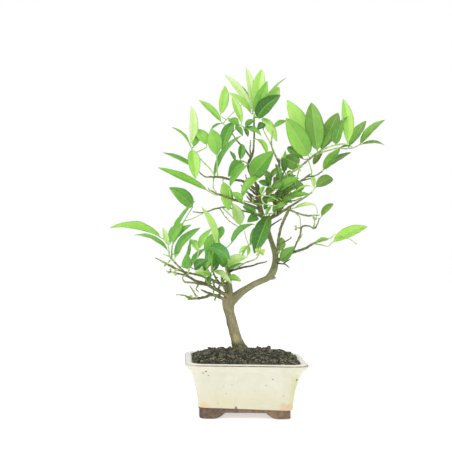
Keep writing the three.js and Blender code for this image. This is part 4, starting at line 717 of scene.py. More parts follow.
class Shell:
    """Closed lofts gathered into one mesh, each point with the values that its finish reads."""

    def __init__(self, *value_names):
        self.points = []
        self.faces = []
        self.finish_numbers = []
        self.values = {name: [] for name in value_names}
        self.count = 0

    def add_loft(self, rings, start, end, finish_number=0, **values):
        """Rings of equally many points, anticlockwise about the way they follow, and two end points."""
        rows, sides = rings.shape[:2]
        self.points.append(np.vstack([[start], rings.reshape(-1, 3), [end]]))
        index = self.count + 1 + np.arange(rows * sides).reshape(rows, sides)
        following = np.roll(index, -1, axis=1)
        last = self.count + 1 + rows * sides
        walls = np.stack([index[:-1], following[:-1], following[1:], index[1:]], axis=-1).reshape(-1, 4)
        first_fan = np.stack([np.full(sides, self.count), following[0], index[0]], axis=-1)
        last_fan = np.stack([np.full(sides, last), index[-1], following[-1]], axis=-1)
        self.faces += walls.tolist() + first_fan.tolist() + last_fan.tolist()
        self.finish_numbers += [finish_number] * (len(walls) + 2 * sides)
        for name, gathered in self.values.items():
            value = np.broadcast_to(values[name], (rows, sides)).astype(float)
            gathered.append(np.concatenate([[value[0].mean()], value.ravel(), [value[-1].mean()]]))
        self.count = last + 1

    def add_tube(self, path, radii, sides, finish_number=0, **values):
        """A round-ended tube. A value is one number, or one for each point of the path."""
        path, radii = with_round_end(path, radii)
        spread = {}
        for name, value in values.items():
            value = np.asarray(value, float)
            if value.ndim == 1:
                value = np.concatenate([value, np.full(len(path) - len(value), value[-1])])[:, None]
            spread[name] = value
        end = path[-1] + unit(path[-1] - path[-2]) * 0.1 * radii[-1]
        self.add_loft(tube_rings(path, radii, sides), path[0], end, finish_number, **spread)

    def to_object(self, name, *finishes, zero=ROWS_ZERO):
        mesh = bpy.data.meshes.new(name)
        mesh.from_pydata(in_metres(np.vstack(self.points), zero).tolist(), [], self.faces)
        for finish in finishes:
            mesh.materials.append(finish)
        mesh.polygons.foreach_set("material_index", self.finish_numbers)
        mesh.polygons.foreach_set("use_smooth", [True] * len(self.faces))
        for value_name, gathered in self.values.items():
            store_value(mesh, value_name, np.concatenate(gathered))
        mesh.update()
        return new_object(name, mesh)


def vectors_of(collection, count, field):
    """The points or normals that a mesh holds, as rows."""
    gathered = np.zeros(count * 3)
    collection.foreach_get(field, gathered)
    return gathered.reshape(-1, 3)


def carry_out_modifiers(piece):
    """Gives the piece the mesh that its modifiers make, and removes them."""
    graph = bpy.context.evaluated_depsgraph_get()
    made = bpy.data.meshes.new_from_object(piece.evaluated_get(graph), depsgraph=graph)
    piece.modifiers.clear()
    piece.data = made


def add_piece(piece, slot_name, *nodes):
    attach(piece, "root")
    if nodes:
        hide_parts(*nodes)


# Finishes: short calls for the nodes that they are made of

def paint(red, green, blue):
    """A colour on the 0 to 255 scale of a screen, as the shaders take it."""
    parts = [value / 255 for value in (red, green, blue)]
    return (*[p / 12.92 if p <= 0.04045 else ((p + 0.055) / 1.055) ** 2.4 for p in parts], 1)


class Graph:
    """Short calls for nodes, on numbers, colours as on a screen or other nodes' outputs."""

    def __init__(self, tree):
        self.tree = tree

    def put(self, value, socket):
        if isinstance(value, bpy.types.NodeSocket):
            self.tree.links.new(value, socket)
        elif socket.type == "RGBA" and len(value) == 3:
            socket.default_value = paint(*value)
        else:
            socket.default_value = value

    def node(self, kind, inputs, output=0, **settings):
        node = self.tree.nodes.new(kind)
        for name, value in settings.items():
            setattr(node, name, value)
        for key, value in inputs.items():
            self.put(value, node.inputs[key])
        return node.outputs[output]

    def maths(self, operation, a, b=0.0):
        return self.node("ShaderNodeMath", {0: a, 1: b}, operation=operation)

    def plus(self, a, b):
        return self.maths("ADD", a, b)

    def minus(self, a, b):
        return self.maths("SUBTRACT", a, b)

    def times(self, a, b):
        return self.maths("MULTIPLY", a, b)

    def about_zero(self, value, reach):
        """Turns a value between 0 and 1 into one between half the reach below and above zero."""
        return self.times(self.minus(value, 0.5), reach)

    def cycle(self, value, count):
        """How far a value is through its own one of so many equal parts."""
        return self.maths("FRACT", self.times(value, count))

    def vector(self, operation, a, b, output=0):
        return self.node("ShaderNodeVectorMath", {0: a, 1: b}, output, operation=operation)

    def scaled(self, vector, scale):
        return self.node("ShaderNodeVectorMath", {0: vector, "Scale": scale}, operation="SCALE")

    def joined(self, x=0.0, y=0.0, z=0.0):
        return self.node("ShaderNodeCombineXYZ", {0: x, 1: y, 2: z})

    def part(self, vector, axis):
        return self.node("ShaderNodeSeparateXYZ", {0: vector}, axis)

    def mix(self, factor, a, b):
        return self.node("ShaderNodeMix", {0: factor, 6: a, 7: b}, 2, data_type="RGBA")

    def tint(self, colour, mask, strength, tone):
        """The colour with another tone over it, as strong as said where the mask is 1."""
        return self.mix(self.times(mask, strength), colour, tone)

    def step(self, value, low, high, at_low=0.0, at_high=1.0):
        """A soft step from one value to the other between two places."""
        ends = {"From Min": low, "From Max": high, "To Min": at_low, "To Max": at_high}
        settings = {"interpolation_type": "SMOOTHSTEP", "clamp": True}
        return self.node("ShaderNodeMapRange", {"Value": value, **ends}, **settings)

    def noise(self, vector, scale, detail=2.0, roughness=0.5, output="Fac"):
        inputs = {"Vector": vector, "Scale": scale, "Detail": detail, "Roughness": roughness}
        return self.node("ShaderNodeTexNoise", inputs, output)

    def ramp(self, value, stops):
        node = self.tree.nodes.new("ShaderNodeValToRGB")
        elements = node.color_ramp.elements
        while len(elements) < len(stops):
            elements.new(0.5)
        for element, (place, colour) in zip(elements, stops):
            element.position = place
            element.color = paint(*colour)
        self.put(value, node.inputs[0])
        return node.outputs[0]

    def attribute(self, name, output="Fac"):
        return self.node("ShaderNodeAttribute", {}, output, attribute_name=name)

    def group(self, tree, inputs):
        return self.node("ShaderNodeGroup", inputs, node_tree=tree)


def shader_group(name, output, inputs):
    """A shared node group for one value: its tree, graph and inputs, and the socket that it puts out."""
    tree = bpy.data.node_groups.new(name, "ShaderNodeTree")
    for label, value in inputs.items():
        kind = "NodeSocketVector" if value is None else "NodeSocketFloat"
        socket = tree.interface.new_socket(label, in_out="INPUT", socket_type=kind)
        if value is not None:
            socket.default_value = value
    tree.interface.new_socket(output, in_out="OUTPUT", socket_type="NodeSocketFloat")
    given = tree.nodes.new("NodeGroupInput").outputs
    return tree, Graph(tree), given, tree.nodes.new("NodeGroupOutput").inputs[output]


def mottle_group():
    """Soft patches between 0 and 1, such as uneven glaze, damp soil or a leaf's marbling."""
    inputs = {"Vector": None, "Scale": 100.0, "Contrast": 0.2}
    tree, graph, given, made = shader_group("Mottle", "Patches", inputs)
    patches = graph.noise(given["Vector"], given["Scale"], 3, 0.55)
    low = graph.minus(0.5, given["Contrast"])
    high = graph.plus(0.5, given["Contrast"])
    graph.put(graph.step(patches, low, high), made)
    return tree


def spots_group():
    """Round specks that are 1 in the middle, such as iron spots, pinholes or pores."""
    inputs = {"Vector": None, "Scale": 100.0, "Size": 0.1, "Share": 0.3}
    tree, graph, given, made = shader_group("Spots", "Spots", inputs)
    placed = {"Vector": given["Vector"], "Scale": given["Scale"]}
    distance = graph.node("ShaderNodeTexVoronoi", placed, "Distance")
    lot = graph.part(distance.node.outputs["Color"], 0)
    chosen = graph.maths("LESS_THAN", lot, given["Share"])
    spot = graph.step(distance, graph.times(given["Size"], 0.5), given["Size"], 1, 0)
    graph.put(graph.times(spot, chosen), made)
    return tree


def patch_group():
    """One soft-edged patch round a place on the surface, with a ragged edge."""
    inputs = {"Vector": None, "Centre": None, "Radius": 0.01, "Ragged": 0.3}
    tree, graph, given, made = shader_group("Patch", "Patch", inputs)
    away = graph.vector("DISTANCE", given["Vector"], given["Centre"], "Value")
    share = graph.maths("DIVIDE", away, given["Radius"])
    ragged = graph.about_zero(graph.noise(given["Vector"], 300, 3), given["Ragged"])
    graph.put(graph.step(graph.plus(share, ragged), 0.35, 1, 1, 0), made)
    return tree


MOTTLE = mottle_group()
SPOTS = spots_group()
PATCH = patch_group()


class Finish(Graph):
    """A material's graph, with patterns that keep their places on the piece."""

    def __init__(self, name):
        self.material = bpy.data.materials.new(name)
        self.material.use_nodes = True
        super().__init__(self.material.node_tree)
        self.shader = self.tree.nodes["Principled BSDF"]

    @functools.cached_property
    def place(self):
        return self.node("ShaderNodeTexCoord", {}, "Object")

    def axis(self, number):
        return self.part(self.place, number)

    def grain(self, scale, detail=2.0, roughness=0.5):
        return self.noise(self.place, scale, detail, roughness)

    def mottle(self, scale, contrast=0.2):
        return self.group(MOTTLE, {"Vector": self.place, "Scale": scale, "Contrast": contrast})

    def spots(self, scale, size, share, place=None):
        place = self.place if place is None else place
        return self.group(SPOTS, {"Vector": place, "Scale": scale, "Size": size, "Share": share})

    def patch(self, centre, radius, ragged, zero=ROWS_ZERO):
        inputs = {"Vector": self.place, "Centre": tuple(in_metres(centre, zero))}
        return self.group(PATCH, {**inputs, "Radius": radius * MILLIMETRE, "Ragged": ragged})

    def surface(self, colour, roughness, relief, depth, strength):
        """Fills the Principled shader. The relief's depth is in metres."""
        heights = {"Height": relief, "Distance": depth, "Strength": strength}
        bump = self.node("ShaderNodeBump", heights, "Normal")
        for value, name in ((colour, "Base Color"), (roughness, "Roughness"), (bump, "Normal")):
            self.put(value, self.shader.inputs[name])


# Marks on the pot's front: (x, z) and a radius, and for a stain how strong it is and its colour
STAINS = [
    ((-61.6, 20), 8.5, 0.6, (226, 182, 128)), ((-55, 18), 6, 0.4, (226, 188, 138)),
    ((56, 18.5), 9, 0.5, (214, 168, 112)), ((64, 19), 7, 0.45, (206, 170, 104)),
    ((-38, 27), 10, 0.25, (212, 204, 150)), ((-24, 26), 10, 0.2, (212, 204, 150)),
]
SPECKS = [
    ((-61, 73.6), 2.3), ((-65, 70.8), 1.8), ((-57.2, 66.7), 1.3), ((37.4, 61.4), 1.4), ((28, 52), 1.2),
    ((-30, 39), 0.8), ((-22, 52), 0.9), ((55, 36), 0.9), ((-14, 57), 0.8), ((-15, 17.8), 2.4),
    ((73.6, 60.5), 2.8), ((-42, 24), 0.8), ((12, 44), 0.7), ((-34, 50), 0.8),
]


def on_front(x, z):
    """The point of the front wall, or of the corner beside it, that is seen at (x, z)."""
    half = np.interp(z, *np.transpose(WALL_PROFILE))
    radius = corner_radius(z)
    past = max(0.0, abs(x) - (half - radius))
    return x, -(half - LENGTH_OVER_DEPTH) + radius - math.sqrt(max(0.0, radius**2 - past**2)), z


def glaze_colour(graph, above_line):
    """Cream that varies, with stains, brown where it is thin on the rim, and iron specks."""
    across, depth, height = (graph.axis(number) for number in range(3))
    cream = graph.mix(graph.mottle(30, 0.25), (217, 214, 197), (209, 208, 186))
    cream = graph.tint(cream, graph.mottle(110, 0.12), 0.35, (221, 217, 201))
    lower_half = graph.step(height, 0.02, 0.055, 0.35, 0)
    cream = graph.mix(lower_half, cream, (206, 200, 160))
    # Yellowish tint down the right-hand corner
    right = graph.step(across, POT_MIDDLE[0] + 0.060, POT_MIDDLE[0] + 0.070)
    front = graph.step(depth, POT_MIDDLE[1] - 0.05, POT_MIDDLE[1] - 0.03, 1, 0)
    low = graph.step(height, 0.05, 0.08, 1, 0)
    cream = graph.tint(cream, graph.times(graph.times(right, front), low), 0.6, (200, 198, 120))
    # Painted light: the rim's top is painted near white, standing in for the light that falls on it from
    # above
    on_top = graph.step(height, 0.0823, 0.0829)
    cream = graph.mix(on_top, cream, (250, 248, 238))
    for mark, radius, share, stain in STAINS:
        cream = graph.tint(cream, graph.patch(on_front(*mark), radius, 0.9, POT_MIDDLE), share, stain)
    # Thin glaze breaks brown where the rim turns, less so at the left end and paler at the right
    patchy = graph.step(graph.grain(140, 3), 0.25, 0.6, 0.7, 1)
    shown = graph.step(across, POT_MIDDLE[0] - 0.082, POT_MIDDLE[0] - 0.068, 0.2, 1)
    broken = graph.times(graph.times(graph.step(graph.attribute("rim_turn"), 0.25, 0.6), patchy), shown)
    right_end = graph.step(across, POT_MIDDLE[0] + 0.04, POT_MIDDLE[0] + 0.085)
    cream = graph.mix(broken, cream, graph.mix(right_end, (116, 88, 62), (158, 126, 78)))
    # Iron specks: small ones strewn about, and the larger ones in their own places
    specks = graph.spots(85, 0.045, 0.16)
    for mark, radius in SPECKS:
        speck = graph.patch(on_front(*mark), radius, 0.5, POT_MIDDLE)
        specks = graph.maths("MAXIMUM", specks, speck)
    cream = graph.tint(cream, specks, 0.9, (78, 64, 52))
    # Glaze that pooled at its lower edge is a little browner
    return graph.tint(cream, graph.step(above_line, 0, 1.3, 1, 0), 0.55, (196, 168, 128))


def clay_colour(graph):
    """Bare brown clay, lighter towards the right, with dark grains."""
    patches = graph.mottle(160)
    left = graph.mix(patches, (88, 72, 60), (118, 99, 84))
    right = graph.mix(patches, (112, 92, 74), (148, 124, 100))
    rightwards = graph.step(graph.axis(0), POT_MIDDLE[0] - 0.06, POT_MIDDLE[0] + 0.02)
    clay = graph.mix(rightwards, left, right)
    return graph.tint(clay, graph.spots(500, 0.35, 0.3), 0.35, (70, 56, 46))


def pot_finish():
    """Cream glaze down to a ragged line, and bare brown clay below it."""
    graph = Finish("cream_glaze")
    above_line = graph.attribute("above_glaze_line")
    ragged = graph.about_zero(graph.grain(900, 2), 0.7)
    glazed = graph.step(graph.plus(above_line, ragged), -0.1, 0.1)
    colour = graph.mix(glazed, clay_colour(graph), glaze_colour(graph, above_line))
    gloss = graph.step(graph.grain(40, 2), 0.3, 0.7, 0.16, 0.3)
    roughness = graph.mix(glazed, (0.85, 0.85, 0.85, 1), gloss)
    grain = graph.grain(1500, 3, 0.6)
    pinholes = graph.times(graph.spots(260, 0.12, 0.12), -0.6)
    ripple = graph.times(graph.grain(120, 2), 0.5)
    relief = graph.mix(glazed, grain, graph.plus(ripple, pinholes))
    graph.surface(colour, graph.part(roughness, 0), graph.part(relief, 0), 0.0004, 0.6)
    return graph.material


def plain_finish(name, dark, light, scale, roughness, grain_scale, grain_depth):
    """Matt stuff whose colour runs between two tones, with a fine grain."""
    graph = Finish(name)
    colour = graph.mix(graph.mottle(scale), dark, light)
    worn = graph.step(graph.grain(scale), 0.3, 0.7, roughness - 0.08, roughness + 0.08)
    graph.surface(colour, worn, graph.grain(grain_scale, 3), grain_depth, 0.5)
    return graph.material


def soil_finish(name, tones, specks):
    """Damp compost: tones run from dark to light by each crumb's own chance, with pale specks."""
    graph = Finish(name)
    fine = graph.grain(700, 3, 0.6)
    varied = graph.plus(graph.attribute("chance"), graph.about_zero(fine, 0.7))
    colour = graph.ramp(varied, [(k / (len(tones) - 1), tone) for k, tone in enumerate(tones)])
    colour = graph.tint(colour, graph.spots(420, 0.22, specks), 0.8, (168, 154, 116))
    # Painted shade: near-black patches, strewn by noise, darken the soil as shade among the clods would
    painted_shade = graph.step(graph.grain(130, 3, 0.6), 0.36, 0.6, 0.65, 0)
    colour = graph.mix(painted_shade, colour, (28, 31, 28))
    algae = graph.step(graph.grain(90, 2), 0.55, 0.7)
    colour = graph.tint(colour, algae, 0.35, (74, 82, 52))
    roughness = graph.step(fine, 0.3, 0.7, 0.75, 0.98)
    graph.surface(colour, roughness, graph.grain(1800, 4, 0.65), 0.0009, 0.8)
    return graph.material


BARK_TONES = [(0.3, (98, 93, 70)), (0.45, (136, 130, 97)), (0.56, (160, 153, 119)), (0.7, (186, 178, 148))]
TAN_SCRAPE = (-13, -9, 113)
BROWN_SORE = (39, -5, 261)


def bark_finish():
    """Grey-olive bark with grain along each limb, a mossy foot and a tan scrape above it."""
    graph = Finish("limequat_bark")
    grain = graph.attribute("grain", "Vector")
    height = graph.axis(2)
    streaks = graph.noise(grain, 1.1, 4, 0.6)
    fine_streaks = graph.noise(grain, 3.5, 3, 0.6)
    colour = graph.ramp(graph.plus(graph.times(streaks, 0.6), graph.times(fine_streaks, 0.4)), BARK_TONES)
    # Greener patches from the fork upwards
    patchy = graph.step(graph.grain(70, 2), 0.35, 0.6, 0.3, 0.85)
    green = graph.times(graph.step(height, 0.15, 0.23), patchy)
    colour = graph.mix(green, colour, graph.mix(streaks, (96, 100, 56), (140, 150, 92)))
    colour = graph.tint(colour, graph.patch(TAN_SCRAPE, 9, 0.8), 0.55, (196, 172, 116))
    # Moss round the foot, up to a ragged edge
    ragged_height = graph.plus(height, graph.times(graph.grain(150, 3), 0.012))
    moss = graph.step(ragged_height, 0.11, 0.118, 0.9, 0)
    tufts = graph.step(graph.grain(420, 3, 0.6), 0.38, 0.62)
    colour = graph.mix(moss, colour, graph.mix(tufts, (50, 55, 40), (126, 126, 90)))
    colour = graph.tint(colour, graph.patch(BROWN_SORE, 7, 0.8), 0.7, (168, 122, 82))
    # Painted shade: the lower trunk is painted darker where its surface faces left
    facing_left = graph.part(graph.node("ShaderNodeNewGeometry", {}, "Normal"), 0)
    flank = graph.step(facing_left, -0.9, -0.35, 0.5, 0)
    painted_flank_shade = graph.times(flank, graph.step(height, 0.15, 0.17, 1, 0))
    colour = graph.mix(painted_flank_shade, colour, (84, 80, 58))
    cut_wood = graph.mix(fine_streaks, (120, 92, 80), (176, 146, 126))
    colour = graph.tint(colour, graph.attribute("stub"), 0.6, cut_wood)
    colour = graph.tint(colour, graph.spots(1.6, 0.22, 0.35, grain), 0.35, (186, 178, 146))
    roughness = graph.step(fine_streaks, 0.3, 0.7, 0.68, 0.9)
    relief = graph.plus(fine_streaks, graph.times(graph.grain(1400, 3), 0.4))
    graph.surface(colour, roughness, relief, 0.0006, 0.7)
    return graph.material


def twig_finish():
    """Young wood: dark olive where it is thick, green where it is thin, and brown where it is dry."""
    graph = Finish("olive_twig")
    patches = graph.mottle(160)
    fine = graph.grain(900, 3)
    woody = graph.mix(patches, (82, 88, 46), (124, 130, 78))
    green = graph.mix(patches, (132, 162, 78), (180, 208, 122))
    dry = graph.mix(patches, (70, 60, 48), (112, 100, 80))
    colour = graph.mix(graph.attribute("young"), woody, green)
    colour = graph.mix(graph.attribute("dry"), colour, dry)
    colour = graph.tint(colour, graph.step(fine, 0.55, 0.7), 0.35, (60, 52, 36))
    graph.surface(colour, graph.step(fine, 0.3, 0.7, 0.5, 0.75), fine, 0.0004, 0.6)
    return graph.material


def stem_finish():
    """Green shoots, turning olive where they are thicker."""
    graph = Finish("green_stem")
    patches = graph.mottle(200)
    olive = graph.mix(patches, (84, 96, 54), (124, 136, 82))
    green = graph.mix(patches, (154, 188, 98), (198, 224, 142))
    colour = graph.mix(graph.attribute("tone"), olive, green)
    roughness = graph.step(patches, 0, 1, 0.42, 0.6)
    graph.surface(colour, roughness, graph.grain(800, 3), 0.0003, 0.5)
    return graph.material


LEAF_TONES = [
    (0, (52, 104, 36)), (0.12, (68, 130, 47)), (0.25, (98, 165, 66)), (0.38, (122, 189, 76)),
    (0.5, (142, 206, 82)), (0.62, (160, 220, 90)), (0.75, (180, 233, 102)), (0.88, (202, 243, 132)),
    (1, (230, 250, 186)),
]
# The yellow bud among the limbs, a blade's side veins, and the share of light that a blade lets through
BUD_STAR = (23, 247, -50)
VEIN_COUNT = 8
VEIN_SLANT = 0.16
LIGHT_THROUGH_LEAF = 0.3


def leaf_tone(graph, chance):
    """The leaf's own tone, marbled, with painted light and shade: one half of the blade a little lighter
    than the other.
    """
    marbling = graph.about_zero(graph.mottle(130, 0.22), 0.08)
    # Painted light and shade: one half of each blade is toned lighter and the other darker, the side set by
    # the leaf's chance
    half = graph.step(graph.attribute("across"), -0.08, 0.08, -0.06, 0.06)
    painted_light_side = graph.step(graph.cycle(chance, 7), 0.49, 0.51, -1, 1)
    shift = graph.plus(graph.about_zero(chance, 0.1), graph.times(half, painted_light_side))
    return graph.plus(graph.attribute("tone"), graph.plus(marbling, shift))


def leaf_colour(graph, tone, chance):
    """Green by tone. The darker leaves are olive on the right, and some are bluish on the left."""
    colour = graph.ramp(tone, LEAF_TONES)
    across, height = graph.axis(0), graph.axis(2)
    odd = graph.cycle(chance, 13)
    farther_right = graph.minus(across, graph.step(height, 0.4, 0.43, 0, 0.02))
    on_right = graph.step(farther_right, ROWS_ZERO[0] + 0.02, ROWS_ZERO[0] + 0.04)
    darker = graph.step(tone, 0.4, 0.7, 1, 0)
    olive = graph.times(graph.times(on_right, darker), graph.step(odd, 0.1, 0.9, 0.2, 0.62))
    colour = graph.mix(olive, colour, (128, 156, 72))
    on_left = graph.step(across, ROWS_ZERO[0] - 0.02, ROWS_ZERO[0] + 0.02, 1, 0)
    on_left = graph.times(on_left, graph.step(height, 0.29, 0.33, 1, 0.35))
    not_pale = graph.step(tone, 0.55, 0.9, 1, 0.1)
    bluish = graph.times(graph.times(on_left, not_pale), graph.step(odd, 0.2, 0.8, 0.1, 0.5))
    colour = graph.mix(bluish, colour, (88, 176, 90))
    return graph.tint(colour, graph.patch(seen(*BUD_STAR), 11, 0.3), 0.85, (206, 218, 72))


def leaf_veins(graph, along, across):
    """1 on the midrib and less on the veins that slant from it to the edge."""
    midrib = graph.step(across, 0.03, 0.09, 1, 0)
    slanted = graph.minus(along, graph.times(across, VEIN_SLANT))
    from_vein = graph.maths("ABSOLUTE", graph.minus(graph.cycle(slanted, VEIN_COUNT), 0.5))
    laterals = graph.step(from_vein, 0.03, 0.1, 1, 0)
    laterals = graph.times(laterals, graph.step(across, 0.6, 0.95, 0.3, 0))
    return graph.maths("MAXIMUM", graph.times(midrib, 0.85), laterals)


def leaf_finish():
    """A glossy blade that lets some light through, paler beneath, with its veins picked out."""
    graph = Finish("citrus_leaf")
    along = graph.attribute("along")
    across = graph.maths("ABSOLUTE", graph.attribute("across"))
    below = graph.attribute("underside")
    chance = graph.attribute("chance")
    colour = leaf_colour(graph, leaf_tone(graph, chance), chance)
    pale = graph.mix(0.35, colour, (206, 230, 160))
    colour = graph.tint(colour, below, 0.7, pale)
    veins = leaf_veins(graph, along, across)
    colour = graph.tint(colour, veins, 0.55, (196, 226, 130))
    colour = graph.tint(colour, graph.step(across, 0.93, 1), 0.3, (206, 226, 140))
    # The tips of a few leaves are scarred brown
    scar = graph.times(graph.step(along, 0.93, 1), graph.step(chance, 0.86, 0.9, 0, 0.6))
    colour = graph.mix(scar, colour, (170, 150, 90))
    pebbled = graph.times(graph.grain(1100, 2), 0.2)
    roughness = graph.step(below, 0, 1, 0.34, 0.6)
    graph.surface(colour, roughness, graph.minus(pebbled, veins), 0.0003, 0.5)
    lit = graph.mix(0.4, colour, (208, 240, 90))
    through = graph.node("ShaderNodeBsdfTranslucent", {"Color": lit})
    mixed = {0: LIGHT_THROUGH_LEAF, 1: graph.shader.outputs[0], 2: through}
    blade = graph.node("ShaderNodeMixShader", mixed)
    graph.put(blade, graph.tree.nodes["Material Output"].inputs["Surface"])
    return graph.material


# Pot

def graded(start, end, spacing):
    return np.linspace(start, end, round(abs(end - start) / spacing), endpoint=False)


def side_places(end, arch):
    """Places of the points along a straight side, finer where the side has its arch."""
    foot, top = arch
    stretches = [(end, foot, 3), (foot, top, 1.2), (top, -top, 4), (-top, -foot, 1.2), (-foot, -end, 3)]
    return np.concatenate([graded(*stretch) for stretch in stretches])[1:] / end


LONG_SIDE = side_places(WALL_PROFILE[0][1] - BAND_CORNER, FRONT_ARCH)
SHORT_SIDE = side_places(WALL_PROFILE[0][1] - LENGTH_OVER_DEPTH - BAND_CORNER, SIDE_ARCH)


def corner_radius(height, inside=0.0):
    """The corners' radius in plan at a height, outside (0), inside (1) or on the rim between them."""
    rise = min(1, max(0, (height - BAND_HEIGHT) / (RIM_HEIGHT - BAND_HEIGHT)))
    return BAND_CORNER + (RIM_CORNER - BAND_CORNER) * rise**2 - CORNER_LESS_INSIDE * inside


def rounded_plan(half_length, radius):
    """The pot's plan for a half-length and the radius of its corners, anticlockwise from above."""
    half_depth = half_length - LENGTH_OVER_DEPTH
    points = []
    for corner, (sign_x, sign_y) in enumerate([(1, 1), (-1, 1), (-1, -1), (1, -1)]):
        middle = np.array([sign_x * (half_length - radius), sign_y * (half_depth - radius)])
        turns = (corner + np.linspace(0, 1, CORNER_STEPS + 1)) * math.pi / 2
        points.append(middle + radius * np.stack([np.cos(turns), np.sin(turns)], axis=1))
        if corner % 2 == 0:
            points.append([0, sign_y * half_depth] + LONG_SIDE[:, None] * [middle[0], 0])
        else:
            points.append([sign_x * half_length, 0] + SHORT_SIDE[:, None] * [0, middle[1]])
    return np.vstack(points)


def arch_height(across, foot, crown):
    return FOOT_HEIGHT * np.clip((foot - np.abs(across)) / (foot - crown), 0, 1) ** 2


def underside_height(plan, inset):
    """Height of the pot's underside: feet at the corners, arches between them, a recess within."""
    arches = np.maximum(arch_height(plan[:, 0], *FRONT_ARCH), arch_height(plan[:, 1], *SIDE_ARCH))
    return np.maximum(arches, FOOT_HEIGHT * smoothstep(*RECESS_EDGE, inset))


def glaze_line(plan):
    """Height of the glaze's lower edge: it wanders, and is chipped in one place at the front."""
    ring = np.column_stack([plan, np.zeros(len(plan))])
    wander = 0.35 * soft_noise(ring / 14, 3) + 0.2 * soft_noise(ring / 4.5, 4)
    chip_x, chip_height, chip_width = GLAZE_CHIP
    chip = chip_height * np.exp(-(((plan[:, 0] - chip_x) / chip_width) ** 2)) * (plan[:, 1] < 0)
    return BAND_HEIGHT + 0.4 + GLAZE_SLANT * plan[:, 0] + wander + chip


def spread_profile(profile, heights):
    """The half-length at each of these heights, on a smooth curve through a profile's points."""
    known, halves = np.transpose(profile)
    slopes = np.gradient(halves, known)
    low = np.clip(np.searchsorted(known, heights, side="right") - 1, 0, len(known) - 2)
    length = known[low + 1] - known[low]
    part = (heights - known[low]) / length
    return smooth_curve(part, length, halves[low], halves[low + 1], slopes[low], slopes[low + 1])


def build_pot():
    shell = Shell("above_glaze_line", "rim_turn")
    foot_half = WALL_PROFILE[0][1]
    rings, lines, turns = [], [], []

    def add_ring(half, heights, radius, is_outside, uneven=0.0):
        plan = rounded_plan(half, radius)
        heights = np.broadcast_to(heights, len(plan))
        turns.append(np.exp(-(((heights - RIM_TURN_HEIGHT) / RIM_TURN_WIDTH) ** 2)) * is_outside)
        slanted = smoothstep(2, 12, heights) * smoothstep(40, 18, heights) * is_outside
        heights = heights + GLAZE_SLANT * plan[:, 0] * slanted
        above = heights - glaze_line(plan)
        if uneven:
            ring = np.column_stack([plan, heights])
            hollow = GLAZE_THICKNESS * smoothstep(0.3, -0.3, above) if is_outside else 0
            push = uneven * soft_noise(ring / 38, 8) + FINGER_MARKS * soft_noise(ring / 9, 9) - hollow
            plan = plan + unit(plan / np.array([half, half - LENGTH_OVER_DEPTH])) * push[:, None]
        rings.append(np.column_stack([plan, heights]))
        lines.append(above if is_outside else np.full(len(plan), WELL_ABOVE_LINE))

    for inset in UNDERSIDE_INSETS:
        plan = rounded_plan(foot_half - inset, max(BAND_CORNER - inset, 2.0))
        rings.append(np.column_stack([plan, underside_height(plan, inset) + FOOT_ROUNDING.get(inset, 0.0)]))
        lines.append(np.full(len(plan), WELL_BELOW_LINE))
        turns.append(np.zeros(len(plan)))
    lowest = rings[-1][:, 2]
    for share in np.linspace(0, 1, 9)[1:]:
        add_ring(foot_half, lowest + (EVEN_RINGS_FROM - lowest) * share, BAND_CORNER, True, 0.1 * share)
    wall_top = WALL_PROFILE[-1][0]
    stretches = [(13.5, 16.4, 0.3), (17, 68, 2.4), (68.5, wall_top - 0.3, 0.75)]
    heights = np.concatenate([*(np.arange(*stretch) for stretch in stretches), [wall_top]])
    for height, half in zip(heights, spread_profile(WALL_PROFILE, heights)):
        add_ring(half, height, corner_radius(height), True, POT_UNEVENNESS)
    outer, inner = RIM_PROFILE[0][1], RIM_PROFILE[-1][1]
    for height, half in RIM_PROFILE:
        inside = smoothstep(outer, inner, half)
        add_ring(half, height, corner_radius(height, inside), inside < 0.5, POT_UNEVENNESS)
    for height, half in CAVITY_PROFILE:
        add_ring(half, height, corner_radius(height, 1), False)
    start, end = (0, 0, FOOT_HEIGHT), (0, 0, POT_FLOOR)
    shell.add_loft(np.array(rings), start, end, above_glaze_line=np.array(lines), rim_turn=np.array(turns))
    pot = shell.to_object("pot_body", pot_finish(), zero=POT_MIDDLE)
    drill_drain_holes(pot)
    add_piece(pot, "glaze", "pot")


def drill_drain_holes(pot):
    cutters = Shell()
    for x in (-DRAIN_HOLE_X, DRAIN_HOLE_X):
        path = np.array([[x, 0, 4.0], [x, 0, 12.0], [x, 0, 20.0]])
        rings = tube_rings(path, np.full(3, DRAIN_HOLE_RADIUS), 40)
        cutters.add_loft(rings, path[0], path[-1])
    cutter = cutters.to_object("drain_cutter", zero=POT_MIDDLE)
    cut = pot.modifiers.new("drain holes", "BOOLEAN")
    cut.operation = "DIFFERENCE"
    cut.solver = "EXACT"
    cut.object = cutter
    carry_out_modifiers(pot)
    bpy.data.objects.remove(cutter)
    pot.data.set_sharp_from_angle(angle=math.radians(50))


# Soil

def soil_height(x, y):
    """Height of the heaped soil, as the CAD source has it."""
    across_x = np.minimum(1, np.abs(x) / np.where(np.asarray(x) < 0, SOIL_HEAP_LEFT_END, SOIL_EDGE))
    across_y = np.minimum(1, np.abs(y) / (SOIL_EDGE - LENGTH_OVER_DEPTH))
    heap = (1 - across_x**4) * (1 - across_y**4)
    lumps = 1.1 * np.sin(0.27 * x + 0.5) * np.cos(0.31 * y + 0.9) + 0.8 * np.sin(0.61 * x - 0.43 * y)
    return SOIL_EDGE_HEIGHT + SOIL_HEAP * heap + lumps * heap**0.5


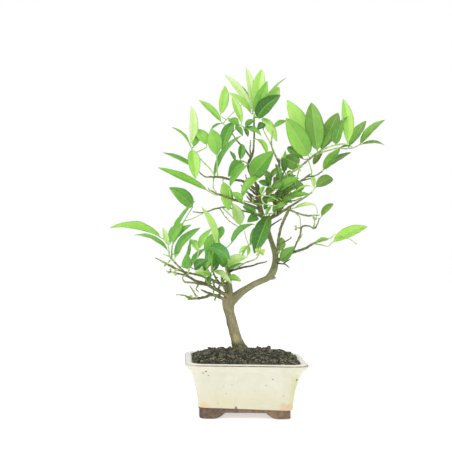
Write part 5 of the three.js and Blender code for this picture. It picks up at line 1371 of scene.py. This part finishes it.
def build_soil_mound():
    shell = Shell("top", "chance")
    rings, top = [], []
    for height, half in reversed(CAVITY_PROFILE):
        edge = half - CLEARANCE
        plan = rounded_plan(edge, corner_radius(height, 1) - CLEARANCE)
        lifted = height + CLEARANCE if height == POT_FLOOR else height
        rings.append(np.column_stack([plan, np.full(len(plan), lifted)]))
        top.append(np.zeros(len(plan)))
    # The top closes in on the middle from the last ring, which lies at the pot's edge
    for scale in np.linspace(1, 0.02, 52):
        x, y = plan[:, 0] * scale, plan[:, 1] * scale
        place = np.column_stack([x, y, np.zeros(len(x))])
        clods = sum(height * soft_noise(place / size, seed) for height, size, seed in CLODS)
        inside = smoothstep(1.0, 0.93, scale)
        rings.append(np.column_stack([x, y, soil_height(x, y) + clods * inside - CRUMB_ROOM]))
        top.append(np.full(len(x), 1.0 if scale < 0.995 else 0.0))
    start = (0, 0, POT_FLOOR + CLEARANCE)
    end = (0, 0, float(soil_height(0, 0)) - CRUMB_ROOM)
    shell.add_loft(np.array(rings), start, end, top=np.array(top), chance=0.3)
    mound = shell.to_object("soil_mound", SOIL, zero=POT_MIDDLE)
    add_piece(mound, "soil", "soil")
    return mound


class Tree(Graph):
    """A geometry node tree with named sizes, whole numbers and a material, to be run on a mesh."""

    def __init__(self, name, sizes, numbers):
        super().__init__(bpy.data.node_groups.new(name, "GeometryNodeTree"))
        interface = self.tree.interface
        kinds = {"Geometry": "Geometry", **dict.fromkeys(sizes, "Float"), **dict.fromkeys(numbers, "Int")}
        self.identifiers = {}
        for label, kind in {**kinds, "Material": "Material"}.items():
            socket = interface.new_socket(label, in_out="INPUT", socket_type=f"NodeSocket{kind}")
            self.identifiers[label] = socket.identifier
        interface.new_socket("Geometry", in_out="OUTPUT", socket_type="NodeSocketGeometry")
        self.given = self.tree.nodes.new("NodeGroupInput").outputs
        self.result = self.tree.nodes.new("NodeGroupOutput").inputs[0]

    def named(self, name):
        return self.node("GeometryNodeInputNamedAttribute", {"Name": name}, data_type="FLOAT")

    def seed(self, number):
        """The tree's seed and a number more, so that each random draw is another one."""
        return self.plus(self.given["Seed"], float(number)) if number else self.given["Seed"]

    def random(self, low, high, number=0):
        """A random number, or vector, between two."""
        seed = self.seed(number)
        if isinstance(low, tuple):
            inputs = {0: low, 1: high, "Seed": seed}
            return self.node("FunctionNodeRandomValue", inputs, 0, data_type="FLOAT_VECTOR")
        return self.node("FunctionNodeRandomValue", {2: low, 3: high, "Seed": seed}, 1, data_type="FLOAT")

    def rotation(self, angles):
        return self.node("FunctionNodeEulerToRotation", {0: angles})

    def turned(self, rotation, angles):
        inputs = {0: rotation, 1: self.rotation(angles)}
        return self.node("FunctionNodeRotateRotation", inputs, rotation_space="LOCAL")

    def instances(self, points, shape, rotation, scale):
        inputs = {"Points": points, "Instance": shape, "Rotation": rotation, "Scale": scale}
        return self.node("GeometryNodeInstanceOnPoints", inputs)

    def points_on_soil(self):
        """Points strewn over the top of the soil."""
        on_top = self.maths("GREATER_THAN", self.named("top"), 0.5)
        inputs = {"Mesh": self.given["Geometry"], "Selection": on_top}
        inputs.update({name: self.given[name] for name in ("Density", "Seed")})
        return self.node("GeometryNodeDistributePointsOnFaces", inputs, "Points")

    def with_chance(self, instances):
        """The instances with a number between 0 and 1 each, which the soil's finish reads."""
        inputs = {"Geometry": instances, "Name": "chance", "Value": self.random(0.0, 1.0, 3)}
        settings = {"data_type": "FLOAT", "domain": "INSTANCE"}
        return self.node("GeometryNodeStoreNamedAttribute", inputs, **settings)

    def bent(self, instances, noise_scale, middle, reach):
        """The instances made real and pushed about by noise whose middle is given as a vector."""
        real = self.node("GeometryNodeRealizeInstances", {"Geometry": instances})
        wobble = self.noise(self.node("GeometryNodeInputPosition", {}), noise_scale, 1.0, 0.5, "Color")
        offset = self.scaled(self.vector("SUBTRACT", wobble, middle), reach)
        return self.node("GeometryNodeSetPosition", {"Geometry": real, "Offset": offset})

    def finish(self, geometry):
        real = self.node("GeometryNodeRealizeInstances", {"Geometry": geometry})
        inputs = {"Geometry": real, "Material": self.given["Material"]}
        self.put(self.node("GeometryNodeSetMaterial", inputs), self.result)

    def run(self, name, source_mesh, **values):
        """A new piece: the tree run on a mesh with these values, made plain."""
        piece = new_object(name, source_mesh.copy())
        modifier = piece.modifiers.new(name, "NODES")
        modifier.node_group = self.tree
        for label, value in values.items():
            modifier[self.identifiers[label.replace("_", " ")]] = value
        carry_out_modifiers(piece)
        return piece


def crumb_tree():
    """Small uneven lumps strewn over the top of the soil, many small and few large."""
    sizes = ("Density", "Smallest", "Largest", "Sink", "Uneven")
    tree = Tree("strewn_crumbs", sizes, ("Facets", "Seed"))
    given = tree.given
    lump = tree.node("GeometryNodeMeshIcoSphere", {"Radius": 1, "Subdivisions": given["Facets"]})
    span = tree.minus(given["Largest"], given["Smallest"])
    size = tree.plus(given["Smallest"], tree.times(span, tree.maths("POWER", tree.random(0, 1), 3)))
    scale = tree.scaled(tree.random((0.5, 0.6, 0.35), (1.6, 1.3, 0.95), 1), size)
    turn = tree.rotation(tree.random((0, 0, 0), (6.3, 6.3, 6.3), 2))
    strewn = tree.instances(tree.points_on_soil(), lump, turn, scale)
    sink = tree.joined(z=tree.times(size, given["Sink"]))
    moved = {"Instances": strewn, "Translation": sink, "Local Space": False}
    strewn = tree.with_chance(tree.node("GeometryNodeTranslateInstances", moved))
    tree.finish(tree.bent(strewn, 900, (0.5, 0.5, 0.5), given["Uneven"]))
    return tree


def fibre_tree():
    """Thin bent fibres and root hairs that lie about on the soil."""
    tree = Tree("strewn_fibres", ("Density", "Shortest", "Longest", "Thickness"), ("Seed",))
    given = tree.given
    shape = {"Vertices": 5, "Side Segments": 8, "Radius": 1.0, "Depth": 1.0}
    strand = tree.node("GeometryNodeMeshCylinder", shape)
    span = tree.minus(given["Longest"], given["Shortest"])
    length = tree.plus(given["Shortest"], tree.times(span, tree.random(0, 1)))
    scale = tree.joined(given["Thickness"], given["Thickness"], length)
    lying = tree.rotation(tree.random((1.25, -0.3, 0), (1.9, 0.3, 6.3), 1))
    strewn = tree.with_chance(tree.instances(tree.points_on_soil(), strand, lying, scale))
    tree.finish(tree.bent(strewn, 130, (0.5, 0.5, 0.4), 0.006))
    return tree


def build_soil():
    mound = build_soil_mound()
    crumbs = crumb_tree()
    small = crumbs.run(
        "soil_crumbs", mound.data, Density=460000.0, Smallest=0.0005, Largest=0.0017, Facets=1, Sink=0.25,
        Uneven=0.0009, Seed=5, Material=CRUMBS,
    )
    large = crumbs.run(
        "soil_clods", mound.data, Density=15000.0, Smallest=0.0014, Largest=0.004, Facets=2, Sink=0.3,
        Uneven=0.004, Seed=11, Material=CRUMBS,
    )
    fibres = fibre_tree().run(
        "soil_fibres", mound.data, Density=13000.0, Shortest=0.003, Longest=0.011, Thickness=0.00035,
        Seed=3, Material=FIBRES,
    )
    for piece in (small, large, fibres):
        add_piece(piece, "soil")


# Wood

# Limbs that make the thick wood, and how many rows of a side limb go into it
THICK_LIMBS = ("trunk", "right_limb", "knee_spur", "crown_right")
SIDE_STARTS = {
    "crown_top": 4, "left_mid": 2, "left_low_mid": 2, "right_mid": 2, "right_low": 2, "riser": 2,
    "low_left": 3, "left_bough": 3, "left_bough_back": 3, "long_right": 2, "right_dark": 2,
}
ROOTS = {
    "root_left": [(-7, 100, 0, 6), (-12, 95, -4, 4.6), (-16, 91, -7, 3)],
    "root_front": [(-6, 100, -2, 6), (-4, 95, -8, 4.6), (-2, 91, -13, 3)],
    "root_right": [(-4, 101, 0, 7), (3, 96, -2, 5.4), (9, 92, -2, 3.8), (13, 89, -1, 2.4)],
    "root_back": [(-6, 100, 2, 6), (-8, 95, 9, 4.4), (-11, 91, 14, 3)],
}
WOOD_VOXEL = 0.0006
# Length of the wood's streaks, the heights between which the crown's right limb turns into a cut stub, and
# the distance between the knots of twigs and of green stems
GRAIN_LENGTH = 14
STUB_RISE = (360, 368)
KNOT_SPACING = 8.5
STEM_KNOT_SPACING = 10


def wood_skeleton():
    """Middle lines of the thick wood, each with its limb's name, points, radii and distances."""
    pieces = [(name, LIMBS[name]) for name in THICK_LIMBS]
    pieces += [(name, LIMBS[name][:count]) for name, count in SIDE_STARTS.items()]
    pieces += list(ROOTS.items())
    return [(name, *smooth_path(rows, 2.0)) for name, rows in pieces]


def wood_values(points, skeleton):
    """For each point its place in the grain, how much of a cut stub it is, and the wood's radius there."""
    best = np.full(len(points), np.inf)
    grain = np.zeros((len(points), 3))
    stub = np.zeros(len(points))
    thickness = np.zeros(len(points))
    for number, (name, path, radii, distances) in enumerate(skeleton):
        _, normals, sideways = frames_along(path)
        reach = radii.max() + 4
        inside = (points > path.min(0) - reach) & (points < path.max(0) + reach)
        near = np.flatnonzero(inside.all(axis=1))
        share = np.linalg.norm(points[near][:, None] - path[None], axis=2) / radii[None]
        nearest = share.argmin(axis=1)
        closest = share[np.arange(len(near)), nearest]
        won = closest < best[near]
        chosen, at = near[won], nearest[won]
        offset = points[chosen] - path[at]
        around = np.stack([np.sum(offset * axes[at], axis=1) for axes in (normals, sideways)], axis=1)
        around = unit(around + 1e-6) * (3 + radii[at])[:, None] * 0.35
        grain[chosen] = np.column_stack([around, distances[at] / GRAIN_LENGTH + 31 * number])
        stub[chosen] = smoothstep(*STUB_RISE, points[chosen][:, 2]) if name == "crown_right" else 0
        thickness[chosen] = radii[at]
        best[chosen] = closest[won]
    return grain, stub, thickness


def build_trunk():
    skeleton = wood_skeleton()
    shell = Shell()
    for _, path, radii, _ in skeleton:
        shell.add_tube(path, radii, 28)
    trunk = shell.to_object("trunk_bark")
    fuse = trunk.modifiers.new("fuse", "REMESH")
    fuse.mode = "VOXEL"
    fuse.voxel_size = WOOD_VOXEL
    ease = trunk.modifiers.new("ease", "SMOOTH")
    ease.factor = 0.5
    ease.iterations = 8
    carry_out_modifiers(trunk)
    mesh = trunk.data
    points = (vectors_of(mesh.vertices, len(mesh.vertices), "co") - ROWS_ZERO) / MILLIMETRE
    normals = vectors_of(mesh.vertex_normals, len(points), "vector")
    grain, stub, thickness = wood_values(points, skeleton)
    ridges = soft_noise(grain * 2.4, 31) * 0.32 + soft_noise(grain * 5.5, 32) * 0.16
    lumps = soft_noise(points / 11, 33) * 0.5 + soft_noise(points / 5, 34) * 0.22
    knots = 0.5 * np.maximum(0, soft_noise(points / 8, 35) - 0.45) * 2
    size = np.clip(thickness / 8, 0.2, 1)
    points = points + normals * ((ridges + lumps + knots) * size)[:, None]
    mesh.vertices.foreach_set("co", in_metres(points).ravel())
    store_value(mesh, "grain", grain)
    store_value(mesh, "stub", stub)
    mesh.materials.append(bark_finish())
    mesh.polygons.foreach_set("use_smooth", [True] * len(mesh.polygons))
    mesh.update()
    add_piece(trunk, "bark", "trunk")


def twig_lines():
    """Middle lines of the thin wood as one mesh of edges, with what the twigs' shape and finish read."""
    points, edges, radii, young, dry = [], [], [], [], []
    # A side limb that starts in the thick wood goes on from two rows before the end of its start
    rows_by_name = {
        name: rows[SIDE_STARTS.get(name, 2) - 2:] for name, rows in LIMBS.items() if name not in THICK_LIMBS
    }
    rows_by_name.update({**FINE_SHOOTS, **SPURS})
    start = 0
    for number, (name, rows) in enumerate(rows_by_name.items()):
        path, radius, distance = smooth_path(rows, 1.3)
        to_knot = (distance + 2.3 * number) % KNOT_SPACING - KNOT_SPACING / 2
        knots = np.exp(-(to_knot / 0.9) ** 2)
        collar = 0 if name in SIDE_STARTS else 0.5 * np.exp(-distance / 3)
        radius = radius * (1 + 0.22 * knots + collar) + 0.1
        fade = smoothstep(0, 5, distance)[:, None]
        wobble = np.column_stack([soft_noise(path / 6, 41 + axis) for axis in range(3)])
        path, radius = with_round_end(path + 0.45 * wobble * fade, radius)
        points.append(path)
        radii.append(radius * MILLIMETRE)
        green = 1.0 if name in FINE_SHOOTS or name in GREEN_LIMBS else 0.0
        young.append(np.clip(green + smoothstep(1.7, 0.9, radius) * 0.6, 0, 1))
        dry.append(np.full(len(path), 0.85 if name in DRY else 0.0))
        edges += [(k, k + 1) for k in range(start, start + len(path) - 1)]
        start += len(path)
    mesh = bpy.data.meshes.new("twig_lines")
    mesh.from_pydata(in_metres(np.vstack(points)).tolist(), edges, [])
    for name, gathered in (("radius", radii), ("young", young), ("dry", dry)):
        store_value(mesh, name, np.concatenate(gathered))
    return mesh


def twig_tree():
    """Sweeps a round section along every middle line, as thick as the line says."""
    tree = Tree("swept_twigs", (), ("Sides",))
    lines = tree.node("GeometryNodeMeshToCurve", {"Mesh": tree.given["Geometry"]})
    circle = {"Resolution": tree.given["Sides"], "Radius": 1.0}
    section = tree.node("GeometryNodeCurvePrimitiveCircle", circle)
    swept = tree.node("GeometryNodeCurveToMesh", {
        "Curve": lines, "Profile Curve": section, "Scale": tree.named("radius"), "Fill Caps": True,
    })
    tree.finish(tree.node("GeometryNodeSetShadeSmooth", {"Geometry": swept, "Shade Smooth": True}))
    return tree


def bud_tree():
    """Small buds that sit on the twigs at regular steps, turned about them at random."""
    tree = Tree("twig_buds", ("Spacing", "Bud Size", "Bud Length", "Lean"), ("Seed",))
    given = tree.given
    lines = tree.node("GeometryNodeMeshToCurve", {"Mesh": given["Geometry"]})
    steps = {"Curve": lines, "Length": given["Spacing"]}
    points = tree.node("GeometryNodeCurveToPoints", steps, "Points", mode="LENGTH")
    bud = tree.node("GeometryNodeMeshIcoSphere", {"Radius": 1, "Subdivisions": 2})
    bud = tree.node("GeometryNodeTransform", {"Geometry": bud, "Translation": (0, 0, 0.9)})
    spun = tree.turned(points.node.outputs["Rotation"], tree.joined(z=tree.random(0, 6.283)))
    leaning = tree.turned(spun, tree.joined(given["Lean"]))
    size = tree.times(given["Bud Size"], tree.random(0.6, 1.3, 1))
    scale = tree.joined(size, size, tree.times(size, given["Bud Length"]))
    buds = tree.instances(points, bud, leaning, scale)
    tree.finish(tree.node("GeometryNodeSetShadeSmooth", {"Geometry": buds, "Shade Smooth": True}))
    return tree


def build_twigs():
    lines = twig_lines()
    twigs = twig_tree().run("twigs", lines, Sides=10, Material=TWIG)
    buds = bud_tree().run(
        "twig_buds", lines, Spacing=0.0085, Bud_Size=0.00085, Bud_Length=1.5, Lean=0.85, Seed=8,
        Material=TWIG,
    )
    for piece in (twigs, buds):
        add_piece(piece, "bark")


# Leafy sprays

# Steps along a blade, from its midrib to its edge and along its stalk
BLADE_STEPS = 34
HALF_STEPS = 6
STALK_STEPS = 5
STALK_RADIUS = 0.68
SHORT_STALK = 2
# How far a blade folds up, what sets its widest place, its sway, and how deep its waves and puffs are
EDGE_RISE = 0.3
USUAL_SWELL = 0.88
BLADE_SWAY = 0.06
WAVE_DEPTH = 0.024
PUFF_DEPTH = 0.028
# Narrower leaflets have the stems' finish
BUD_WIDTH = 4.2


def nearest_on_stems(stems, x, z):
    """The nearest point of the stems to (x, z), as seen, with its depth."""
    best_distance, best = math.inf, None
    for stem in stems:
        for (ax, az, ay, _), (bx, bz, by, _) in zip(stem, stem[1:]):
            length2 = (bx - ax) ** 2 + (bz - az) ** 2
            part = min(1, max(0, ((x - ax) * (bx - ax) + (z - az) * (bz - az)) / length2))
            point = (ax + part * (bx - ax), az + part * (bz - az), ay + part * (by - ay))
            distance = math.hypot(x - point[0], z - point[1])
            if distance < best_distance:
                best_distance, best = distance, point
    return best


def across_places():
    """Places round a blade's section, over the top and back beneath, and 1 or -1 for the side."""
    half = np.linspace(0, 1, HALF_STEPS + 1) ** 1.2
    over = np.concatenate([-half[::-1], half[1:]])
    back = over[-2:0:-1]
    return np.concatenate([over, back]), np.concatenate([np.ones(len(over)), -np.ones(len(back))])


ACROSS, UPPER_SIDE = across_places()
ROUND_TURN = np.where(UPPER_SIDE > 0, math.pi * (1 - ACROSS) / 2, -math.pi * (1 - ACROSS) / 2)


def leaf_pose(stems, leaf):
    """A leaf's root on the stem, the two ends of its blade, and the way it points and faces."""
    base_x, base_z, tip_x, tip_z, depth_step, _, roll = leaf[:7]
    root_x, root_z, depth = nearest_on_stems(stems, base_x, base_z)
    base = seen(base_x, base_z, depth)
    tip = seen(tip_x, tip_z, depth + depth_step)
    along = unit(tip - base)
    root = seen(root_x, root_z, depth)
    if np.linalg.norm(root - base) < SHORT_STALK:
        base = root + along * SHORT_STALK
    to_eye = EYE - base
    to_eye = unit(to_eye - (to_eye @ along) * along)
    upward = np.cross(along, to_eye)
    if upward[2] + 0.3 * upward[0] < 0:
        upward = -upward
    turn = math.radians(roll)
    return root, base, tip, along, math.cos(turn) * to_eye + math.sin(turn) * upward


def stalk_line(root, base, along):
    """A short curve from the stem into the blade, and its radii."""
    length = np.linalg.norm(base - root)
    part = np.linspace(0, 1, STALK_STEPS, endpoint=False)[:, None]
    pull_out, pull_in = root + unit(base - root) * length / 3, base - along * length / 3
    path = (
        (1 - part) ** 3 * root + 3 * (1 - part) ** 2 * part * pull_out
        + 3 * (1 - part) * part**2 * pull_in + part**3 * base
    )
    return path, STALK_RADIUS * (1.25 - 0.35 * part[:, 0])


def blade_height(t, s, half_width, width, waves, fold, phase):
    """How far a blade stands off its middle line: it folds, waves at its edge and puffs between veins."""
    rise = EDGE_RISE * (0.6 + 0.9 * fold) * half_width
    soft_fold = (np.sqrt(s**2 + 0.02) - math.sqrt(0.02)) / (math.sqrt(1.02) - math.sqrt(0.02))
    wave_count = 1.5 + 2 * waves
    ripple = 0.6 * np.sin(2 * math.pi * (1.7 * wave_count * t + 2 * phase))
    edge_wave = np.sign(s) * np.sin(2 * math.pi * (wave_count * t + phase)) + ripple
    puffs = np.abs(np.sin(math.pi * VEIN_COUNT * (t - VEIN_SLANT * np.abs(s)))) * np.abs(s) * (1 - s**2)
    height = rise * (1.25 * soft_fold - 0.25 * s**4)
    height = height + WAVE_DEPTH * width * s**2 * edge_wave * np.sin(math.pi * t)
    return height + PUFF_DEPTH * width * puffs * np.sin(math.pi * t)


def add_leaf(shell, stems, leaf, luck):
    width, _, arch, tone, *widest = leaf[5:]
    swell = widest[0] if widest else USUAL_SWELL
    root, base, tip, along, facing = leaf_pose(stems, leaf)
    stalk_path, stalk_radius = stalk_line(root, base, along)

    # The blade's middle line arches and sways, and its section turns on the way to the tip
    place = np.linspace(0, 1, BLADE_STEPS, endpoint=False) ** 0.95
    chance, sway, waves, fold, twist, phase = luck.random(6)
    middle = base + np.outer(place, tip - base) + np.outer(4 * arch * place * (1 - place), facing)
    bow = (sway - 0.5) * BLADE_SWAY * np.linalg.norm(tip - base) * np.sin(math.pi * place)
    path = np.vstack([stalk_path, middle + np.outer(bow, np.cross(along, facing))])
    tangents = unit(np.gradient(path, axis=0))
    upper = unit(facing - (tangents @ facing)[:, None] * tangents)
    sideways = np.cross(tangents, upper)
    turned = np.concatenate([np.zeros(STALK_STEPS), (twist - 0.5) * 0.5 * place])[:, None]
    cosine, sine = np.cos(turned), np.sin(turned)
    upper, sideways = cosine * upper + sine * sideways, cosine * sideways - sine * upper

    # The blade's section, from edge to edge (s) at each place along it (t), with a groove along the midrib
    t = np.concatenate([np.zeros(STALK_STEPS), place])[:, None]
    s = ACROSS[None]
    half_width = width / 2 * np.sin(math.pi * t**swell) ** (0.72 + 0.16 * sway)
    half_width = half_width * (1 + 0.006 * np.sin(2 * math.pi * 11 * t + 6 * phase))
    groove_above = 0.14 * np.exp(-((s / 0.13) ** 2)) * (UPPER_SIDE > 0)
    groove_below = 0.3 * np.exp(-((s / 0.12) ** 2)) * (UPPER_SIDE < 0)
    thickness = 0.2 + 0.12 * (1 - s**4)
    height = blade_height(t, s, half_width, width, waves, fold, phase)
    lift = height - (groove_above + groove_below) * (1 - 0.6 * t) + UPPER_SIDE * thickness * (1 - 0.5 * t)
    across = sideways[:, None] * (s * half_width)[..., None]
    flat = path[:, None] + across + upper[:, None] * lift[..., None]

    # The stalk's round section turns into the blade's just beyond its foot
    radius = np.concatenate([stalk_radius, np.full(BLADE_STEPS, STALK_RADIUS * 0.9)])[:, None, None]
    round_section = path[:, None] + radius * (
        sideways[:, None] * np.cos(ROUND_TURN)[:, None] + upper[:, None] * np.sin(ROUND_TURN)[:, None]
    )
    flatness = smoothstep(0, 0.07, t)[..., None]
    rings = round_section * (1 - flatness) + flat * flatness
    shell.add_loft(
        rings, root, tip, int(width < BUD_WIDTH), tone=tone, chance=chance, across=s, along=t,
        underside=UPPER_SIDE < 0,
    )


LEAF_VALUES = ("tone", "chance", "across", "along", "underside")


def add_spray(shell, stems, leaves, luck):
    for number, rows in enumerate(stems):
        path, radii, distance = smooth_path(rows, 1.6)
        to_knot = (distance + 3 * number) % STEM_KNOT_SPACING - STEM_KNOT_SPACING / 2
        radii = radii * (1 + 0.2 * np.exp(-(to_knot / 1.1) ** 2))
        shell.add_tube(
            path, radii, 9, 1, tone=smoothstep(1.8, 0.9, radii), chance=luck.random(), across=0,
            along=distance / 100, underside=0,
        )
    for leaf in leaves:
        add_leaf(shell, stems, leaf, luck)


def build_sprays():
    luck = np.random.default_rng(20)
    for name, spray in SPRAYS.items():
        shell = Shell(*LEAF_VALUES)
        add_spray(shell, *spray, luck)
        add_piece(shell.to_object(f"leaves_{name}", LEAF, STEM), "leaf", f"spray_{name}")
    shell = Shell(*LEAF_VALUES)
    buds = [([twig], [(*ends, *BUD_LEAFLET) for ends in leaflets]) for twig, leaflets in BUDS]
    for spray in SMALL_SPRAYS + buds:
        add_spray(shell, *spray, luck)
    add_piece(shell.to_object("small_leaves", LEAF, STEM), "leaf")


# Floor, light and camera

WORLD_LIGHT = 0.57
FLOOR_RADIUS = 7
# Name, place, size and power of each lamp, and the place that they all point at
LIGHTS = [
    ("key", (-0.9, -1.3, 1.6), 1.4, 20.0),
    ("fill", (1.5, -0.9, 0.9), 1.2, 5.0),
    ("top", (0.0, 0.2, 1.7), 1.2, 4.5),
]
LIT_PLACE = (0, 0, 0.25)


def build_stage():
    mesh = bpy.data.meshes.new("floor")
    turns = [k * math.pi / 32 for k in range(64)]
    ring = [(FLOOR_RADIUS * math.cos(turn), FLOOR_RADIUS * math.sin(turn), 0) for turn in turns]
    mesh.from_pydata(ring, [], [list(range(64))])
    floor = new_object("floor", mesh)
    white = Finish("white_floor")
    white.shader.inputs["Base Color"].default_value = (0.8, 0.8, 0.8, 1)
    white.shader.inputs["Roughness"].default_value = 0.9
    white.shader.inputs["Emission Color"].default_value = (1, 1, 1, 1)
    white.shader.inputs["Emission Strength"].default_value = 0.55
    mesh.materials.append(white.material)

    world = bpy.data.worlds.new("studio")
    world.use_nodes = True
    graph = Graph(world.node_tree)
    seen_directly = graph.node("ShaderNodeLightPath", {}, "Is Camera Ray")
    background = world.node_tree.nodes["Background"].inputs
    background["Color"].default_value = (1, 1, 1, 1)
    graph.put(graph.step(seen_directly, 0, 1, WORLD_LIGHT, 1), background["Strength"])
    bpy.context.scene.world = world

    for name, place, size, power in LIGHTS:
        light = bpy.data.lights.new(name, "AREA")
        light.size = size
        light.energy = power
        lamp = new_object(name, light)
        lamp.location = place
        lamp.rotation_euler = (Vector(LIT_PLACE) - Vector(place)).to_track_quat("-Z", "Y").to_euler()


FOCAL_LENGTH = 59.03
CAMERA_YAW = math.radians(3.5)
CAMERA_PITCH = math.radians(0.33)
CAMERA_ROLL = math.radians(1.36)


def place_camera():
    data = bpy.data.cameras.new("camera")
    data.lens = FOCAL_LENGTH
    data.sensor_width = 36
    camera = new_object("camera", data)
    forward = Vector((
        math.sin(CAMERA_YAW) * math.cos(CAMERA_PITCH),
        math.cos(CAMERA_YAW) * math.cos(CAMERA_PITCH),
        math.sin(CAMERA_PITCH),
    ))
    level = Vector((math.cos(CAMERA_YAW), -math.sin(CAMERA_YAW), 0))
    upright = level.cross(forward)
    right = math.cos(CAMERA_ROLL) * level + math.sin(CAMERA_ROLL) * upright
    up = -math.sin(CAMERA_ROLL) * level + math.cos(CAMERA_ROLL) * upright
    turn = Matrix((right, up, -forward)).transposed().to_4x4()
    camera.matrix_world = Matrix.Translation(Vector(in_metres(EYE))) @ turn
    bpy.context.scene.camera = camera


# Everything, put together

SOIL = soil_finish("damp_soil", [(40, 41, 34), (64, 64, 52), (90, 88, 72), (116, 110, 88)], 0.12)
CRUMBS = soil_finish(
    "soil_crumbs", [(44, 47, 41), (74, 78, 67), (103, 106, 91), (128, 126, 105), (154, 141, 112)], 0.11,
)
FIBRES = plain_finish("root_fibres", (126, 112, 80), (206, 190, 148), 60.0, 0.8, 900.0, 0.0003)
PLASTIC = plain_finish("dark_mesh", (26, 30, 26), (44, 48, 42), 90.0, 0.55, 1200.0, 0.0002)
TWIG = twig_finish()
LEAF = leaf_finish()
STEM = stem_finish()

build_pot()
build_soil()
build_trunk()
build_twigs()
build_sprays()
for name in ("drain_mesh_left", "drain_mesh_right"):
    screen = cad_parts[name]
    screen.data.materials.clear()
    screen.data.materials.append(PLASTIC)
build_stage()
place_camera()
bpy.context.scene.view_settings.view_transform = "Standard"
